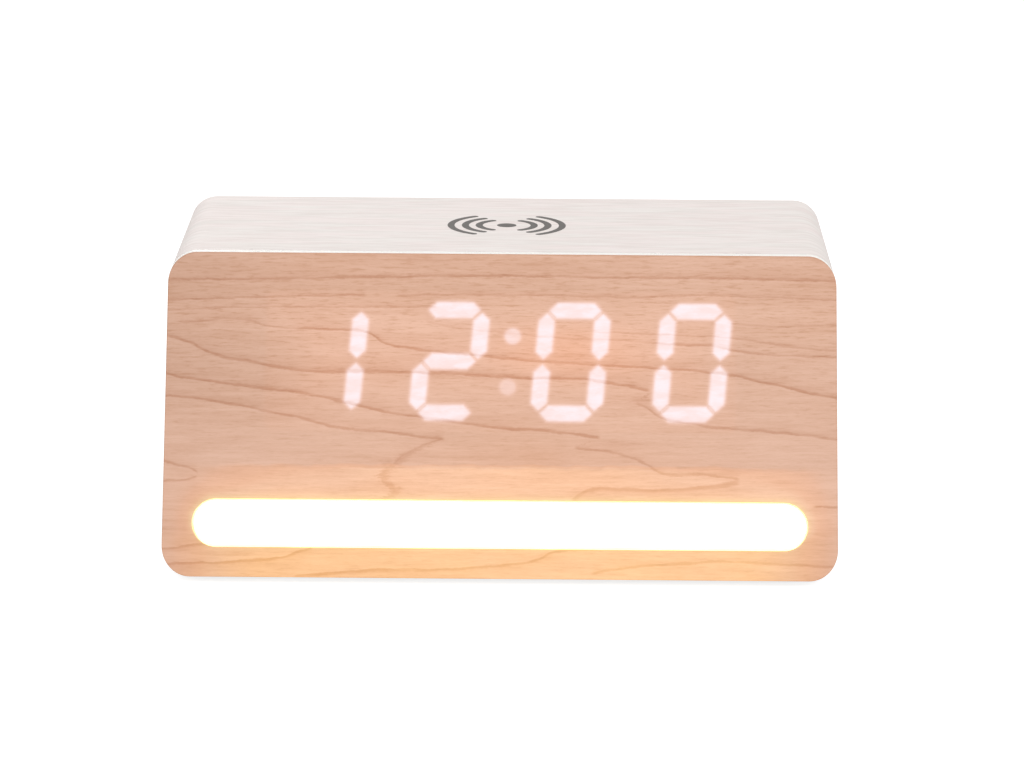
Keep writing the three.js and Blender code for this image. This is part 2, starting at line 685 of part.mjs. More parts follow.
// A well narrows towards the board, so its back outline is a share of its front one.
function tapered(shape, [x, y]) {
  const front = REFLECTOR_FRONT + OVERRUN;
  const back = REFLECTOR_BACK - OVERRUN;
  const geometry = alongZ(shape, back, front);
  const position = geometry.attributes.position;
  for (let i = 0; i < position.count; i += 1) {
    const share = position.getZ(i) < REFLECTOR_BACK ? WELL_FLOOR_SHARE : 1;
    position.setX(i, x + (position.getX(i) - x) * share);
    position.setY(i, y + (position.getY(i) - y) * share);
  }
  return geometry;
}

function windowOutline() {
  const height = REFLECTOR_HEIGHT;
  return roundedRect(REFLECTOR_WIDTH, height, REFLECTOR_CORNER, DIGIT_SHIFT, DIGIT_CENTRE);
}

function reflector() {
  let body = solid(alongZ(windowOutline(), REFLECTOR_BACK, REFLECTOR_FRONT, 2));
  for (const { centre, shape } of wells()) {
    body = cut(body, tapered(shape, centre));
  }
  for (const centre of dotCentres()) {
    const dot = new THREE.Shape();
    dot.absarc(...centre, DOT_RADIUS, 0, 2 * Math.PI);
    body = cut(body, tapered(dot, centre));
  }
  return body;
}

function windowFilm() {
  return alongZ(windowOutline(), FILM_BACK, CASE_EDGE, 2);
}

function displayBoard() {
  const outline = rectangle(DISPLAY_BOARD_WIDTH, DISPLAY_BOARD_HEIGHT, DIGIT_SHIFT, DIGIT_CENTRE);
  let board = solid(alongZ(outline, DISPLAY_BACK, DISPLAY_FRONT));
  const dies = wells().map(({ centre, isUpright }) => [...centre, isUpright]);
  dies.push(...dotCentres().map((centre) => [...centre, false]));
  for (const [x, y, isUpright] of dies) {
    const [width, height] = isUpright ? [DIE_WIDTH, DIE_LENGTH] : [DIE_LENGTH, DIE_WIDTH];
    const low = [x - width / 2, y - height / 2, DISPLAY_BACK + BLEND];
    const high = [x + width / 2, y + height / 2, DISPLAY_FRONT + DIE_STAND];
    board = join(board, block(low, high));
  }
  const chipX = DIGIT_SHIFT + DIGIT_PITCH;
  const half = DRIVER_CHIP / 2;
  const chipLow = [chipX - half, DIGIT_CENTRE - half, DISPLAY_BACK - DRIVER_CHIP_THICK];
  const chipHigh = [chipX + half, DIGIT_CENTRE + half, DISPLAY_BACK + BLEND];
  board = join(board, block(chipLow, chipHigh));
  const plugLow = [RIBBON_X - PLUG_WIDTH / 2, DIGIT_CENTRE - PLUG_HEIGHT / 2, DISPLAY_BACK - PLUG_DEPTH];
  const plugHigh = [RIBBON_X + PLUG_WIDTH / 2, DIGIT_CENTRE + PLUG_HEIGHT / 2, DISPLAY_BACK + BLEND];
  board = join(board, block(plugLow, plugHigh));
  for (const [u, v] of displayPostPlaces()) {
    board = cut(board, barZ(PILOT_RADIUS, u, v, DISPLAY_BACK - OVERRUN, DISPLAY_FRONT + OVERRUN));
  }
  return board;
}

// A screw whose head's underside is at zero, with the shank running to plus Y.
function screw(headRadius, shankLength) {
  const profile = [
    [0, -HEAD_HEIGHT],
    [headRadius, -HEAD_HEIGHT],
    [headRadius, 0],
    [SHANK_RADIUS, 0],
    [SHANK_RADIUS, shankLength - SHANK_RADIUS],
    [0, shankLength],
  ];
  return turned(profile, SMALL_SIDES);
}

function crossScrew(headRadius, shankLength) {
  const bottom = -HEAD_HEIGHT - OVERRUN;
  const top = RECESS_DEPTH - HEAD_HEIGHT;
  const arm = block([-RECESS_ARM, bottom, -RECESS_WIDTH / 2], [RECESS_ARM, top, RECESS_WIDTH / 2]);
  const cross = block([-RECESS_WIDTH / 2, bottom, -RECESS_ARM], [RECESS_WIDTH / 2, top, RECESS_ARM]);
  return cut(solid(screw(headRadius, shankLength)), arm, cross);
}

// Rear cover.

function buttonPlaces() {
  const first = -(BUTTON_NAMES.length - 1) * BUTTON_PITCH / 2;
  return BUTTON_NAMES.map((name, index) => [name, first + index * BUTTON_PITCH, BUTTON_Z]);
}

function mainScrewPlaces() {
  const x = MAIN_BOARD_WIDTH / 2 - POST_INSET;
  const z = MAIN_BOARD_HEIGHT / 2 - POST_INSET;
  return [[-x, -z], [x, -z], [-x, z], [x, z]].map(([side, rise]) => [side, MAIN_MIDDLE + rise]);
}

function soundHolePlaces() {
  const places = [[SOUNDER_X, MAIN_MIDDLE]];
  for (let hole = 0; hole < SOUND_HOLES; hole += 1) {
    const angle = hole * 2 * Math.PI / SOUND_HOLES;
    const x = SOUNDER_X + SOUND_RING_RADIUS * Math.cos(angle);
    places.push([x, MAIN_MIDDLE + SOUND_RING_RADIUS * Math.sin(angle)]);
  }
  return places;
}

function atBattery(geometry) {
  return geometry.translate(BATTERY_X, 0, BATTERY_Z);
}

function batteryBar(radius, low, high, sides = LARGE_SIDES) {
  return barY(radius, BATTERY_X, BATTERY_Z, low, high, sides);
}

function withBatteryPocket(cover) {
  const chamberRadius = TAB_RADIUS + DOOR_GAP;
  const chamberFloor = TAB_FRONT - DOOR_GAP;
  const cellRadius = CELL_RADIUS + CELL_GAP;
  const cupFront = POCKET_FLOOR - POCKET_WALL;
  const chamberFront = chamberFloor - POCKET_WALL;
  let body = join(cover, batteryBar(chamberRadius + POCKET_WALL, chamberFront, COVER_BACK + BLEND));
  body = join(body, batteryBar(cellRadius + POCKET_WALL, cupFront, COVER_BACK));
  body = cut(body, batteryBar(chamberRadius, chamberFloor, COVER_BACK));
  body = cut(body, batteryBar(cellRadius, POCKET_FLOOR, COVER_BACK));
  body = cut(body, batteryBar(DOOR_RADIUS + DOOR_GAP, COVER_BACK - OVERRUN, COVER_FACE + OVERRUN));
  for (const middle of [-DOOR_TURN, Math.PI - DOOR_TURN]) {
    const notch = sector(CELL_RADIUS, TAB_RADIUS + DOOR_GAP, middle, TAB_ANGLE + NOTCH_SPARE);
    body = cut(body, atBattery(alongY(notch, COVER_BACK - OVERRUN, COVER_FACE + OVERRUN)));
  }
  return cut(body, ...contactSlots());
}

function rearCover() {
  const before = COVER_BACK - OVERRUN;
  const beyond = COVER_FACE + OVERRUN;
  const headRadius = CASE_HEAD_RADIUS + FIT_GAP;
  let cover = solid(alongY(bodyOutline(WALL - RABBET_STEP + FIT_GAP), COVER_BACK, COVER_FACE));
  for (const [x, z] of mainScrewPlaces()) {
    cover = join(cover, barY(POST_RADIUS, x, z, MAIN_REAR, COVER_BACK + BLEND));
    cover = cut(cover, barY(PILOT_RADIUS, x, z, MAIN_REAR - OVERRUN, COVER_BACK));
  }
  for (const [x, z] of caseScrewPlaces()) {
    cover = cut(cover, barY(PILOT_RADIUS, x, z, before, beyond));
    const headSeat = barY(headRadius, x, z, COVER_FACE - CASE_COUNTERBORE, beyond);
    cover = cut(cover, headSeat);
  }
  for (const [, x, z] of buttonPlaces()) {
    cover = cut(cover, barY(BUTTON_RADIUS + SLIDE_GAP, x, z, before, beyond, ROUND_SIDES));
  }
  for (const [x, z] of soundHolePlaces()) {
    cover = cut(cover, barY(SOUND_HOLE_RADIUS, x, z, before, beyond, HOLE_SIDES));
  }
  for (let vent = 0; vent < VENT_COUNT; vent += 1) {
    const x = (vent - (VENT_COUNT - 1) / 2) * VENT_PITCH;
    const slot = roundedRect(VENT_WIDTH, VENT_HEIGHT, VENT_WIDTH / 2, x, VENT_Z);
    cover = cut(cover, alongY(slot, before, beyond, 1));
  }
  cover = cut(cover, alongY(usbOutline(USB_GAP), before, beyond));
  return withBatteryPocket(cover);
}

// Buttons and switches.

function buttonCap() {
  const top = COVER_FACE + BUTTON_STAND;
  const profile = [
    [0, FLANGE_BACK],
    [BUTTON_FLANGE_RADIUS, FLANGE_BACK],
    [BUTTON_FLANGE_RADIUS, FLANGE_BACK + BUTTON_FLANGE_THICK],
    [BUTTON_RADIUS, FLANGE_BACK + BUTTON_FLANGE_THICK],
    [BUTTON_RADIUS, top - BUTTON_ROUND],
    [BUTTON_RADIUS - BUTTON_ROUND / 4, top - BUTTON_ROUND / 4],
    [BUTTON_RADIUS - BUTTON_ROUND, top],
    [0, top],
  ];
  return turned(profile);
}

function switchBody() {
  const half = SWITCH_SIZE / 2;
  const body = solid(block([-half, MAIN_REAR, -half], [half, SWITCH_TOP, half]));
  const boreFloor = SWITCH_TOP - SWITCH_BORE_DEPTH;
  return cut(body, barY(PLUNGER_RADIUS + SLIDE_GAP, 0, 0, boreFloor, SWITCH_TOP + OVERRUN));
}

function plunger() {
  return barY(PLUNGER_RADIUS, 0, 0, SWITCH_TOP - PLUNGER_SEAT, FLANGE_BACK);
}

// Boards.

function mainBoard() {
  const outline = rectangle(MAIN_BOARD_WIDTH, MAIN_BOARD_HEIGHT, 0, MAIN_MIDDLE);
  let board = solid(alongY(outline, MAIN_FRONT, MAIN_REAR));
  for (const [x, z] of mainScrewPlaces()) {
    board = cut(board, barY(PILOT_RADIUS, x, z, MAIN_FRONT - OVERRUN, MAIN_REAR + OVERRUN));
  }
  const half = DRIVER_CHIP / 2;
  const chipLow = [MAIN_CHIP_X - half, MAIN_FRONT - DRIVER_CHIP_THICK, MAIN_MIDDLE - half];
  const chipHigh = [MAIN_CHIP_X + half, MAIN_FRONT + BLEND, MAIN_MIDDLE + half];
  const plugLow = [RIBBON_X - PLUG_WIDTH / 2, MAIN_FRONT - PLUG_DEPTH, MAIN_MIDDLE - PLUG_HEIGHT / 2];
  const plugHigh = [RIBBON_X + PLUG_WIDTH / 2, MAIN_FRONT + BLEND, MAIN_MIDDLE + PLUG_HEIGHT / 2];
  return join(board, block(chipLow, chipHigh), block(plugLow, plugHigh));
}

function sounder() {
  const rear = MAIN_REAR + SOUNDER_HEIGHT;
  const body = barY(SOUNDER_RADIUS, SOUNDER_X, MAIN_MIDDLE, MAIN_REAR, rear, ROUND_SIDES);
  const portFloor = rear - SOUNDER_HEIGHT / 2;
  return cut(solid(body), barY(SOUNDER_PORT_RADIUS, SOUNDER_X, MAIN_MIDDLE, portFloor, rear + OVERRUN));
}

function chargerBoard() {
  const outline = rectangle(CHARGER_WIDTH, CHARGER_DEPTH, 0, CHARGER_MIDDLE);
  let board = solid(alongZ(outline, CHARGER_BOTTOM, CHARGER_TOP));
  for (const [x, y] of chargerScrewPlaces()) {
    board = cut(board, barZ(PILOT_RADIUS, x, y, CHARGER_BOTTOM - OVERRUN, CHARGER_TOP + OVERRUN));
  }
  const half = DRIVER_CHIP / 2;
  const chipLow = [CHARGER_CHIP_X - half, CHARGER_MIDDLE - half, CHARGER_TOP - BLEND];
  const chipHigh = [CHARGER_CHIP_X + half, CHARGER_MIDDLE + half, CHARGER_TOP + DRIVER_CHIP_THICK];
  return join(board, block(chipLow, chipHigh));
}

function usbOutline(margin) {
  const height = USB_HEIGHT + 2 * margin;
  const z = CHARGER_TOP + USB_HEIGHT / 2;
  return roundedRect(USB_WIDTH + 2 * margin, height, height / 2, 0, z);
}

function usbShell() {
  const front = USB_MOUTH - USB_LENGTH;
  const shell = solid(alongY(usbOutline(0), front, USB_MOUTH));
  return cut(shell, alongY(usbOutline(-USB_WALL), front + USB_BACK, USB_MOUTH + OVERRUN));
}

function usbTongue() {
  const root = USB_MOUTH - USB_LENGTH + USB_BACK;
  const z = CHARGER_TOP + USB_HEIGHT / 2;
  return alongY(rectangle(TONGUE_WIDTH, TONGUE_THICK, 0, z), root, root + TONGUE_LENGTH);
}

// Battery.

function coinCell() {
  const profile = [
    [0, CELL_FRONT],
    [CELL_RADIUS - 2 * CELL_STEP, CELL_FRONT],
    [CELL_RADIUS - CELL_STEP, CELL_FRONT + CELL_STEP],
    [CELL_RADIUS, CELL_FRONT + 2 * CELL_STEP],
    [CELL_RADIUS, CELL_REAR],
    [0, CELL_REAR],
  ];
  return atBattery(turned(profile, LARGE_SIDES));
}

function batteryDoor() {
  const inner = COVER_FACE - DOOR_THICK;
  let door = solid(barY(DOOR_RADIUS, 0, 0, inner, COVER_FACE, LARGE_SIDES));
  door = join(door, barY(DOOR_RADIUS, 0, 0, TAB_FRONT, inner + BLEND / 2, LARGE_SIDES));
  door = cut(door, barY(DOOR_RADIUS - SKIRT_THICK, 0, 0, TAB_FRONT - OVERRUN, inner, LARGE_SIDES));
  for (const middle of [0, Math.PI]) {
    const tab = sector(DOOR_RADIUS - SKIRT_THICK / 2, TAB_RADIUS, middle, TAB_ANGLE);
    door = join(door, alongY(tab, TAB_FRONT, TAB_REAR));
  }
  const halfSlot = COIN_SLOT_LENGTH / 2;
  const slotLow = [-halfSlot, COVER_FACE - COIN_SLOT_DEPTH, -COIN_SLOT_WIDTH / 2];
  const slotHigh = [halfSlot, COVER_FACE + OVERRUN, COIN_SLOT_WIDTH / 2];
  return geometryOf(cut(door, block(slotLow, slotHigh)));
}

// Bent strips: the negative one lies under the cell, the positive one stands beside it.
function contactSlots() {
  const half = CONTACT_WIDTH / 2 + FIT_GAP;
  const front = POCKET_FLOOR - POCKET_WALL - OVERRUN;
  const rear = POCKET_FLOOR + CELL_THICK;
  const thick = CONTACT_THICK + FIT_GAP;
  const side = CELL_RADIUS + CELL_GAP;
  return [
    atBattery(block([-thick, front, -half], [FIT_GAP, POCKET_FLOOR + OVERRUN, half])),
    atBattery(block([-side - thick, front, -half], [-side + FIT_GAP, rear, half])),
  ];
}

function negativeContact() {
  const reach = CELL_RADIUS / 2;
  const half = CONTACT_WIDTH / 2;
  const rear = POCKET_FLOOR + CONTACT_THICK;
  const stem = block([-CONTACT_THICK, MAIN_REAR, -half], [0, rear, half]);
  const leaf = block([-CONTACT_THICK, POCKET_FLOOR, -half], [reach, rear, half]);
  return atBattery(geometryOf(join(solid(stem), leaf)));
}

function positiveContact() {
  const half = CONTACT_WIDTH / 2;
  const inner = -CELL_RADIUS - CELL_GAP;
  const rear = CELL_REAR - CELL_THICK / 2;
  return atBattery(block([inner - CONTACT_THICK, MAIN_REAR, -half], [inner, rear, half]));
}

// Charging coil: one wire wound flat from the middle outwards.

function coilPoint(turn, radius, level) {
  const angle = Math.PI / 2 + turn * 2 * Math.PI;
  return new THREE.Vector3(radius * Math.cos(angle), TOP_CENTRE + radius * Math.sin(angle), level);
}

// Each lead as [turn share, radius share, level share] from the coil's end to the board.
const INNER_LEAD_SHARES = [
  [-0.05, 0.91, 0],
  [-0.1, 0.79, 0.002],
  [-0.14, 0.7, 0.008],
  [-0.17, 0.64, 0.03],
  [-0.18, 0.6, 0.1],
  [-0.18, 0.57, 0.35],
  [-0.18, 0.56, 0.65],
  [-0.18, 0.55, 0.94],
  [-0.18, 0.55, 1],
];
const OUTER_LEAD_SHARES = [
  [0.015, 1.03, 0.01],
  [0.025, 1.05, 0.04],
  [0.028, 1.05, 0.09],
  [0.028, 0.98, 0.2],
  [0.028, 0.8, 0.45],
  [0.028, 0.62, 0.7],
  [0.028, 0.56, 0.94],
  [0.028, 0.56, 1],
];

function coilPoints() {
  const bottom = CHARGER_TOP + SEAT_GAP;
  const drop = COIL_LEVEL - bottom;
  const inner = INNER_LEAD_SHARES.map(([turn, radius, level]) => {
    return coilPoint(turn, COIL_INNER_RADIUS * radius, COIL_LEVEL - drop * level);
  });
  const outer = OUTER_LEAD_SHARES.map(([turn, radius, level]) => {
    return coilPoint(COIL_TURNS + turn, COIL_RADIUS * radius, COIL_LEVEL - drop * level);
  });
  const turns = [];
  for (let step = 0; step <= COIL_TURNS * COIL_STEPS; step += 1) {
    const turn = step / COIL_STEPS;
    turns.push(coilPoint(turn, COIL_INNER_RADIUS + COIL_PITCH * turn, COIL_LEVEL));
  }
  return [...inner.reverse(), ...turns, ...outer];
}

function leastGap(points, radius) {
  let least = Infinity;
  for (let i = 0; i < points.length; i += 1) {
    for (let j = i + COIL_STEPS / 2; j < points.length; j += 1) {
      least = Math.min(least, points[i].distanceTo(points[j]) - 2 * radius);
    }
  }
  return least;
}

function chargingCoil() {
  const points = coilPoints();
  console.log(`charging_coil least gap to itself: ${leastGap(points, WIRE_RADIUS).toFixed(3)} mm`);
  return tube(points, WIRE_RADIUS, WIRE_SIDES);
}

function leadSlot(low, high) {
  const end = CARRIER_RADIUS + OVERRUN;
  const start = COIL_RADIUS - COIL_PITCH;
  const slot = block([-LEAD_SLOT, start, low - OVERRUN], [LEAD_SLOT / 4, end, high + OVERRUN]);
  return slot.translate(0, TOP_CENTRE, 0);
}

function ferriteSheet() {
  const sheet = solid(barZ(FERRITE_RADIUS, 0, TOP_CENTRE, CARRIER_TOP, FERRITE_TOP, LARGE_SIDES));
  const below = CARRIER_TOP - OVERRUN;
  const eye = barZ(CARRIER_EYE, 0, TOP_CENTRE, below, FERRITE_TOP + OVERRUN, ROUND_SIDES);
  return cut(sheet, eye, leadSlot(CARRIER_TOP, FERRITE_TOP));
}

function coilCarrier() {
  const seat = FERRITE_RADIUS + FIT_GAP;
  const below = CARRIER_BOTTOM - OVERRUN;
  const above = CARRIER_TOP + OVERRUN;
  let carrier = solid(barZ(CARRIER_RADIUS, 0, TOP_CENTRE, CARRIER_BOTTOM, COIL_TOP, LARGE_SIDES));
  carrier = cut(carrier, barZ(seat, 0, TOP_CENTRE, CARRIER_TOP, COIL_TOP + OVERRUN, LARGE_SIDES));
  const earLength = 2 * CARRIER_EAR_X + 2 * CARRIER_EAR;
  const ears = roundedRect(earLength, 2 * CARRIER_EAR, CARRIER_EAR, 0, TOP_CENTRE);
  carrier = join(carrier, alongZ(ears, CARRIER_BOTTOM, CARRIER_TOP));
  for (const [x, y] of carrierScrewPlaces()) {
    carrier = cut(carrier, barZ(PILOT_RADIUS, x, y, below, above));
  }
  const eye = barZ(CARRIER_EYE, 0, TOP_CENTRE, below, above, ROUND_SIDES);
  return cut(carrier, eye, leadSlot(CARRIER_BOTTOM, COIL_TOP));
}

// Leads.

function facePoint(x, v, depth) {
  return new THREE.Vector3(x, v, depth).applyMatrix4(face.matrix);
}

// A flat strip whose edge-on outline is drawn from front to rear, then widened along X.
function displayRibbon() {
  const start = facePoint(0, DIGIT_CENTRE, DISPLAY_BACK - PLUG_DEPTH - SEAT_GAP);
  const leave = facePoint(0, DIGIT_CENTRE, DISPLAY_BACK - PLUG_DEPTH - 2 * RIBBON_WIDTH);
  const end = new THREE.Vector2(MAIN_FRONT - PLUG_DEPTH - SEAT_GAP, MAIN_MIDDLE);
  const arrive = new THREE.Vector2(end.x - 2 * RIBBON_WIDTH, end.y);
  const first = new THREE.Vector2(start.y, start.z);
  const path = new THREE.CubicBezierCurve(first, new THREE.Vector2(leave.y, leave.z), arrive, end);
  const upper = [];
  const lower = [];
  for (let step = 0; step <= ROUND_SIDES; step += 1) {
    const point = path.getPoint(step / ROUND_SIDES);
    const along = path.getTangent(step / ROUND_SIDES);
    const side = new THREE.Vector2(-along.y, along.x).multiplyScalar(RIBBON_THICK / 2);
    upper.unshift(point.clone().add(side));
    lower.push(point.clone().sub(side));
  }
  const half = RIBBON_WIDTH / 2;
  return alongX(new THREE.Shape([...lower, ...upper]), RIBBON_X - half, RIBBON_X + half);
}

function lead(start, startWay, end, endWay) {
  const near = start.clone().addScaledVector(startWay, 4 * LEAD_RADIUS);
  const far = end.clone().addScaledVector(endWay, 4 * LEAD_RADIUS);
  const span = start.distanceTo(end) / 2;
  const from = near.clone().addScaledVector(startWay, span);
  const to = far.clone().addScaledVector(endWay, span);
  const path = new THREE.CubicBezierCurve3(near, from, to, far);
  return tube([start, ...path.getPoints(SMALL_SIDES), end], LEAD_RADIUS, WIRE_SIDES);
}

function lightLead() {
  const start = facePoint(0, LIGHT_BOARD_CENTRE, LIGHT_BOARD_BACK - SEAT_GAP);
  const inward = new THREE.Vector3(0, 0, -1).transformDirection(face.matrix);
  const end = new THREE.Vector3(0, CHARGER_FRONT + 4 * LEAD_RADIUS, CHARGER_TOP + SEAT_GAP);
  return lead(start, inward, end, new THREE.Vector3(0, 0, 1));
}

function powerLead() {
  const x = -CHARGER_WIDTH / 4;
  const start = new THREE.Vector3(x, CHARGER_MIDDLE, CHARGER_TOP + SEAT_GAP);
  const low = MAIN_MIDDLE - MAIN_BOARD_HEIGHT / 4;
  const end = new THREE.Vector3(x, MAIN_FRONT - SEAT_GAP, low);
  return lead(start, new THREE.Vector3(0, 0, 1), end, new THREE.Vector3(0, -1, 0));
}

// Assembly.

function addFront(part) {
  face.add(piece('front_veneer', veneer(), CHERRY));
  face.add(piece('front_panel', frontPanel(), CLEAR));
  face.add(piece('light_bar_diffuser', barDiffuser(), OPAL));
  face.add(piece('light_tray', lightTray(), WHITE_PLASTIC));
  face.add(piece('light_board', lightBoard(), BOARD_WHITE));
  face.add(piece('window_film', windowFilm(), OPAL));
  face.add(piece('display_reflector', reflector(), WHITE_PLASTIC));
  face.add(piece('display_board', displayBoard(), BOARD_GREEN));
  displayPostPlaces().forEach(([u, v], index) => {
    const fixing = piece(`display_screw_${index + 1}`, screw(HEAD_RADIUS, SHANK_LENGTH), STEEL);
    fixing.rotation.x = Math.PI / 2;
    fixing.position.set(u, v, DISPLAY_BACK - SEAT_GAP);
    face.add(fixing);
  });
  part.add(face);
}

function addBody(part) {
  part.add(piece('housing', housing(), WHITE_GRAIN));
  footPlaces().forEach(([x, y], index) => {
    const pad = piece(`foot_${index + 1}`, foot(), RUBBER);
    pad.position.set(x, y, 0);
    part.add(pad);
  });
  part.add(piece('rear_cover', rearCover(), GREY_PLASTIC));
  caseScrewPlaces().forEach(([x, z], index) => {
    const form = crossScrew(CASE_HEAD_RADIUS, CASE_SHANK_LENGTH);
    const fixing = piece(`rear_screw_${index + 1}`, form, STEEL);
    fixing.rotation.x = Math.PI;
    fixing.position.set(x, COVER_FACE - CASE_COUNTERBORE, z);
    part.add(fixing);
  });
}

function addControls(part) {
  part.add(piece('main_board', mainBoard(), BOARD_GREEN));
  mainScrewPlaces().forEach(([x, z], index) => {
    const fixing = piece(`board_screw_${index + 1}`, screw(HEAD_RADIUS, SHANK_LENGTH), STEEL);
    fixing.position.set(x, MAIN_FRONT, z);
    part.add(fixing);
  });
  for (const [name, x, z] of buttonPlaces()) {
    const cap = piece(`button_${name}`, buttonCap(), WHITE_PLASTIC);
    const stem = piece(`switch_plunger_${name}`, plunger(), DARK_PLASTIC);
    const body = piece(`switch_body_${name}`, switchBody(), DARK_PLASTIC);
    for (const mesh of [cap, stem, body]) {
      mesh.position.set(x, 0, z);
      part.add(mesh);
    }
  }
  part.add(piece('sounder', sounder(), DARK_PLASTIC));
}

function addBattery(part) {
  const door = piece('battery_door', batteryDoor(), GREY_PLASTIC);
  door.position.set(BATTERY_X, 0, BATTERY_Z);
  part.add(door);
  part.add(piece('coin_cell', coinCell(), STEEL));
  part.add(piece('battery_contact_negative', negativeContact(), GOLD));
  part.add(piece('battery_contact_positive', positiveContact(), GOLD));
}

function addCharger(part) {
  part.add(piece('charger_board', chargerBoard(), BOARD_GREEN));
  chargerScrewPlaces().forEach(([x, y], index) => {
    const fixing = piece(`charger_screw_${index + 1}`, screw(HEAD_RADIUS, CHARGER_POST), STEEL);
    fixing.rotation.x = -Math.PI / 2;
    fixing.position.set(x, y, CHARGER_TOP);
    part.add(fixing);
  });
  part.add(piece('usb_shell', usbShell(), STEEL));
  part.add(piece('usb_tongue', usbTongue(), DARK_PLASTIC));
  part.add(piece('charging_coil', chargingCoil(), COPPER));
  part.add(piece('ferrite_sheet', ferriteSheet(), FERRITE));
  part.add(piece('coil_carrier', coilCarrier(), WHITE_PLASTIC));
  carrierScrewPlaces().forEach(([x, y], index) => {
    const form = screw(HEAD_RADIUS, CARRIER_PLATE + CHARGER_POST / 2);
    const fixing = piece(`carrier_screw_${index + 1}`, form, STEEL);
    fixing.rotation.x = Math.PI / 2;
    fixing.position.set(x, y, CARRIER_BOTTOM);
    part.add(fixing);
  });
}

function addLeads(part) {
  part.add(piece('display_ribbon', displayRibbon(), WHITE_PLASTIC));
  part.add(piece('light_lead', lightLead(), DARK_PLASTIC));
  part.add(piece('power_lead', powerLead(), DARK_PLASTIC));
}

const clock = new THREE.Group();
addBody(clock);
addFront(clock);
addControls(clock);
addBattery(clock);
addCharger(clock);
addLeads(clock);

export default clock;
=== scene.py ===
"""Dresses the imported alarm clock: fine pieces, printed films, lit digits, light bar, stage and camera.

Sizes are in metres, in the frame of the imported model: X along the width, Y from front to rear, Z up.
The slanted front has its own frame, in millimetres: u along the width, v up the face, w out of it.
"""

import math

import bmesh
import bpy
from mathutils import Matrix, Vector


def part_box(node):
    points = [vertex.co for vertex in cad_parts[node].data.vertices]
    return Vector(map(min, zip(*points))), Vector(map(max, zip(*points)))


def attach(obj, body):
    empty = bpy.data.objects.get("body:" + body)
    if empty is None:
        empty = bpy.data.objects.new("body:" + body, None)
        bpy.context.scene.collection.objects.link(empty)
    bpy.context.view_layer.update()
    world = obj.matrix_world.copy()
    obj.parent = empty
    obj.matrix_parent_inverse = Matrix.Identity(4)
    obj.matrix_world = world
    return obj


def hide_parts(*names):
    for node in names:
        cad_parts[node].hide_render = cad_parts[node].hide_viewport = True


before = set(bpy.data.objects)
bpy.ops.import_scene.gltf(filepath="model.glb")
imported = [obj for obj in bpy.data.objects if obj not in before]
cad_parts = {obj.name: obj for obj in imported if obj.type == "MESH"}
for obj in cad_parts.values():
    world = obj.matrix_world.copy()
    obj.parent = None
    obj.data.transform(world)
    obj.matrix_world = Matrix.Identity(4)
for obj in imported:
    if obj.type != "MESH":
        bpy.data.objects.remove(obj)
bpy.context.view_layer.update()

bl_info = {
    "name": "Slanted Alarm Clock",
    "version": (1, 0, 0),
    "blender": (4, 5, 0),
    "location": "View3D > Sidebar > Alarm Clock",
    "description": "Builds the fine pieces, films, lights and stage of a slanted wooden alarm clock",
    "category": "Object",
}

MM = 0.001
DEG = math.radians(1)


def box_of(node):
    """The lowest and highest corners of a CAD node."""
    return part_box(node)


def middle_of(node):
    """The middle of a CAD node, as X and Z."""
    low, high = box_of(node)
    return (low.x + high.x) / 2, (low.z + high.z) / 2


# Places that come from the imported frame.
CASE_LOW, CASE_HIGH = box_of("housing")
WIDTH = CASE_HIGH.x - CASE_LOW.x
BODY_HEIGHT = CASE_HIGH.z - CASE_LOW.z
FLOOR = CASE_LOW.z
TOP = CASE_HIGH.z
REAR = CASE_HIGH.y
FRONT = -REAR
MIDDLE = (FLOOR + TOP) / 2
COVER_LOW, COVER_HIGH = box_of("rear_cover")
COVER_FACE = COVER_HIGH.y
COVER_BACK = COVER_FACE - 2.4 * MM
LEAN = 25 * DEG
FACE_HEIGHT = BODY_HEIGHT / math.cos(LEAN)
TOP_CENTRE = (FRONT + BODY_HEIGHT * math.tan(LEAN) + REAR) / 2

# From the face's frame, in metres, to the part's.
FACE = Matrix.Translation((0, FRONT, FLOOR)) @ Matrix.Rotation(90 * DEG - LEAN, 4, "X")
FACE_OUT = FACE.to_3x3() @ Vector((0, 0, 1))
# From a shape drawn in X and Y and raised along Z, to one that stands upright: its Z runs to the front.
UPRIGHT = Matrix.Rotation(90 * DEG, 4, "X")

# Cutting allowances, how near two places count as one, and the least angle of an edge that gets rounded.
OVERRUN = 1 * MM
BLEND = 0.5 * MM
HAIR = 1e-5
NEAR = 1e-6
LEAST_SHARP = 40 * DEG


def linear(red, green, blue):
    """A colour as shaders take it, from the 0 to 255 values of a picture."""
    def one(value):
        """One of its three values."""
        share = value / 255
        return share / 12.92 if share <= 0.04045 else ((share + 0.055) / 1.055) ** 2.4
    return (one(red), one(green), one(blue))


BLACK, WHITE = (0.0, 0.0, 0.0), (1.0, 1.0, 1.0)


# Settings of the add-on.


